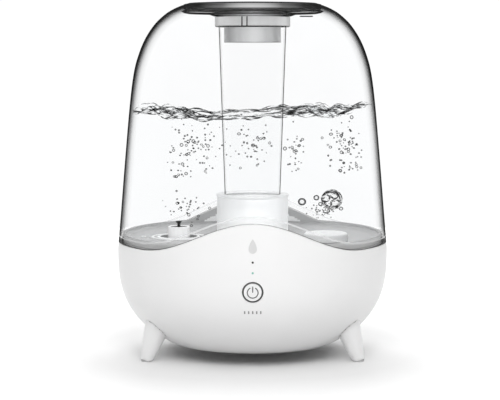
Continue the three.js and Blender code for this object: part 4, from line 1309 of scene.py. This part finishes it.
FINE = (0.45, 0.95)
STEM_REACH, STEM_TOP = 7.0, box_mm("valve_stem")[1][2] + 8  # the opened valve's stem fills this space
BUBBLE_COLUMNS = {
    # centre, spread, number of fine bubbles and number of larger ones
    "left": ((-50, -20, 184), (19, 20, 17), 66, 15),
    "left_low": ((-62, -20, 161), (14, 10, 6), 14, 6),
    "valve": ((-60, -14, 127), (14, 6, 10), 34, 9),
    "middle": ((0, -45, 186), (22, 10, 16), 44, 9),
    "middle_right": ((36, -45, 180), (8, 10, 17), 22, 8),
    "right": ((82, -15, 184), (15, 18, 17), 60, 14),
    "right_low": ((84, -15, 165), (10, 12, 6), 12, 6),
}
for name, (centre, spread, fine, larger) in BUBBLE_COLUMNS.items():
    bubble_group(f"bubbles_{name}_fine", scattered(centre, spread, fine, FINE), BUBBLE_FINE)
    bubble_group(f"bubbles_{name}", scattered(centre, spread, larger, (1.0, 1.7)), BUBBLE)

SPLASH = (69, -24, 136.5)
bubble_group("bubble_large", [(SPLASH, 9.4, 0.95)], BUBBLE_LARGE)
bubble_group("bubble_large_parts", [
    ((SPLASH[0] - 5.5, SPLASH[1] - 2, SPLASH[2] + 1.5), 4.2, 0.9),
    ((SPLASH[0] + 3.0, SPLASH[1] - 3, SPLASH[2] - 3.5), 5.0, 0.9),
    ((SPLASH[0] + 2.0, SPLASH[1] - 2, SPLASH[2] + 4.0), 4.0, 0.9),
], BUBBLE_LARGE)
bubble_group("bubbles_splash", [
    ((SPLASH[0] + dx, SPLASH[1], SPLASH[2] + dz), radius, 0.9)
    for dx, dz, radius in ((-26, -2, 3.6), (-13.5, 1.5, 2.6), (-10, -4, 1.9), (8, -8, 1.8), (-3, -10, 1.6))
], BUBBLE)
foam = scattered((SPLASH[0] - 8, SPLASH[1] - 2, SPLASH[2] - 9), (9, 5, 5), 60, (0.35, 0.75))
bubble_group("bubbles_foam", foam, BUBBLE_FINE)


# ---- stage, light and camera


def make_floor():
    """A round floor that ends where the white studio begins."""
    rows = [circle(r, 0, 96) for r in (1000, 600, 200)]
    return make_piece("studio_floor", skin([*rows, [(0, 0, 0)]]), [FLOOR], sharp=0)


def paper():
    """Studio paper: faint mottling, and a painted shadow: a little darker round where the humidifier stands.
    """
    m = new_material("studio_paper")
    shader = m.add("ShaderNodeBsdfPrincipled", Roughness=0.75)
    where = m.add("ShaderNodeTexCoord")
    distance = m.add("ShaderNodeVectorMath", operation="LENGTH")
    m.link(where.outputs["Object"], distance.inputs[0])
    # Painted shadow: the paper darkens in a ring round the humidifier's footprint.
    painted_shadow = m.ramp(
        distance.outputs["Value"], greys([(0.0, 0.87), (0.1, 0.82), (0.14, 0.8), (0.18, 0.86), (0.25, 0.95)])
    )
    mottling = m.ramp(m.noise(60, 2), greys([(0.3, 0.992), (0.7, 1.0)]))
    tone = m.add("ShaderNodeMixRGB", blend_type="MULTIPLY", Fac=1.0)
    m.link(painted_shadow, tone.inputs["Color1"])
    m.link(mottling, tone.inputs["Color2"])
    m.link(tone.outputs["Color"], shader.inputs["Base Color"])
    return m.finished(shader.outputs["BSDF"])


FLOOR = paper()
make_floor()


def area_light(name, where, target, size, power):
    """A soft light, in metres, that leaves no bright patch in a gloss."""
    data = bpy.data.lights.new(name, "AREA")
    data.shape = "RECTANGLE"
    data.size, data.size_y = size
    data.energy = power
    light = bpy.data.objects.new(name, data)
    light.location = where
    light.visible_glossy = False
    light.rotation_euler = (Vector(target) - Vector(where)).to_track_quat("-Z", "Y").to_euler()
    bpy.context.scene.collection.objects.link(light)


area_light("key_front", (0.0, -0.62, 0.56), (0, 0, 0.1), (0.3, 0.3), 2.6)
area_light("high_behind", (0.0, 0.95, 0.85), (0, 0, 0.0), (0.8, 0.5), 8.0)


def make_world():
    """Soft studio light: bright above and behind, dim at the front and sides, white to the camera."""
    w = Nodes(bpy.data.worlds.new("studio"), "ShaderNodeOutputWorld")

    def ramp(letter, stops):
        return w.ramp(w.ranged(w.axis("Generated", letter), 0.0, 1.0, -1.0, 1.0), greys(stops))

    behind = ramp("Y", [(0.0, 0.1), (0.45, 0.1), (0.62, 0.72), (1.0, 0.72)])
    above = ramp("Z", [(0.0, 0.0), (0.74, 0.0), (0.84, 1.0), (1.0, 1.0)])
    lighter = w.add("ShaderNodeMix", data_type="RGBA", blend_type="LIGHTEN", Factor=1.0)
    w.link(behind, lighter.inputs["A"])
    w.link(above, lighter.inputs["B"])
    light = w.add("ShaderNodeBackground", Strength=1.04)
    w.link(lighter.outputs["Result"], light.inputs["Color"])
    seen = w.add("ShaderNodeBackground", Color=(1, 1, 1, 1), Strength=1.03)
    path = w.add("ShaderNodeLightPath")
    mix = w.mixed(path.outputs["Is Camera Ray"], light.outputs["Background"], seen.outputs["Background"])
    bpy.context.scene.world = w.finished(mix)


make_world()
bpy.context.scene.view_settings.view_transform = "Standard"
bpy.context.scene.cycles.transparent_max_bounces = 40

camera_data = bpy.data.cameras.new("camera")
camera_data.lens = 118.8
camera_data.sensor_width = 36
camera_data.clip_end = 50
camera = bpy.data.objects.new("camera", camera_data)
camera.location = (-0.0022, -1.452, 0.271)
camera.rotation_euler = (math.radians(90 - 5.4), 0, 0)
bpy.context.scene.collection.objects.link(camera)
bpy.context.scene.camera = camera
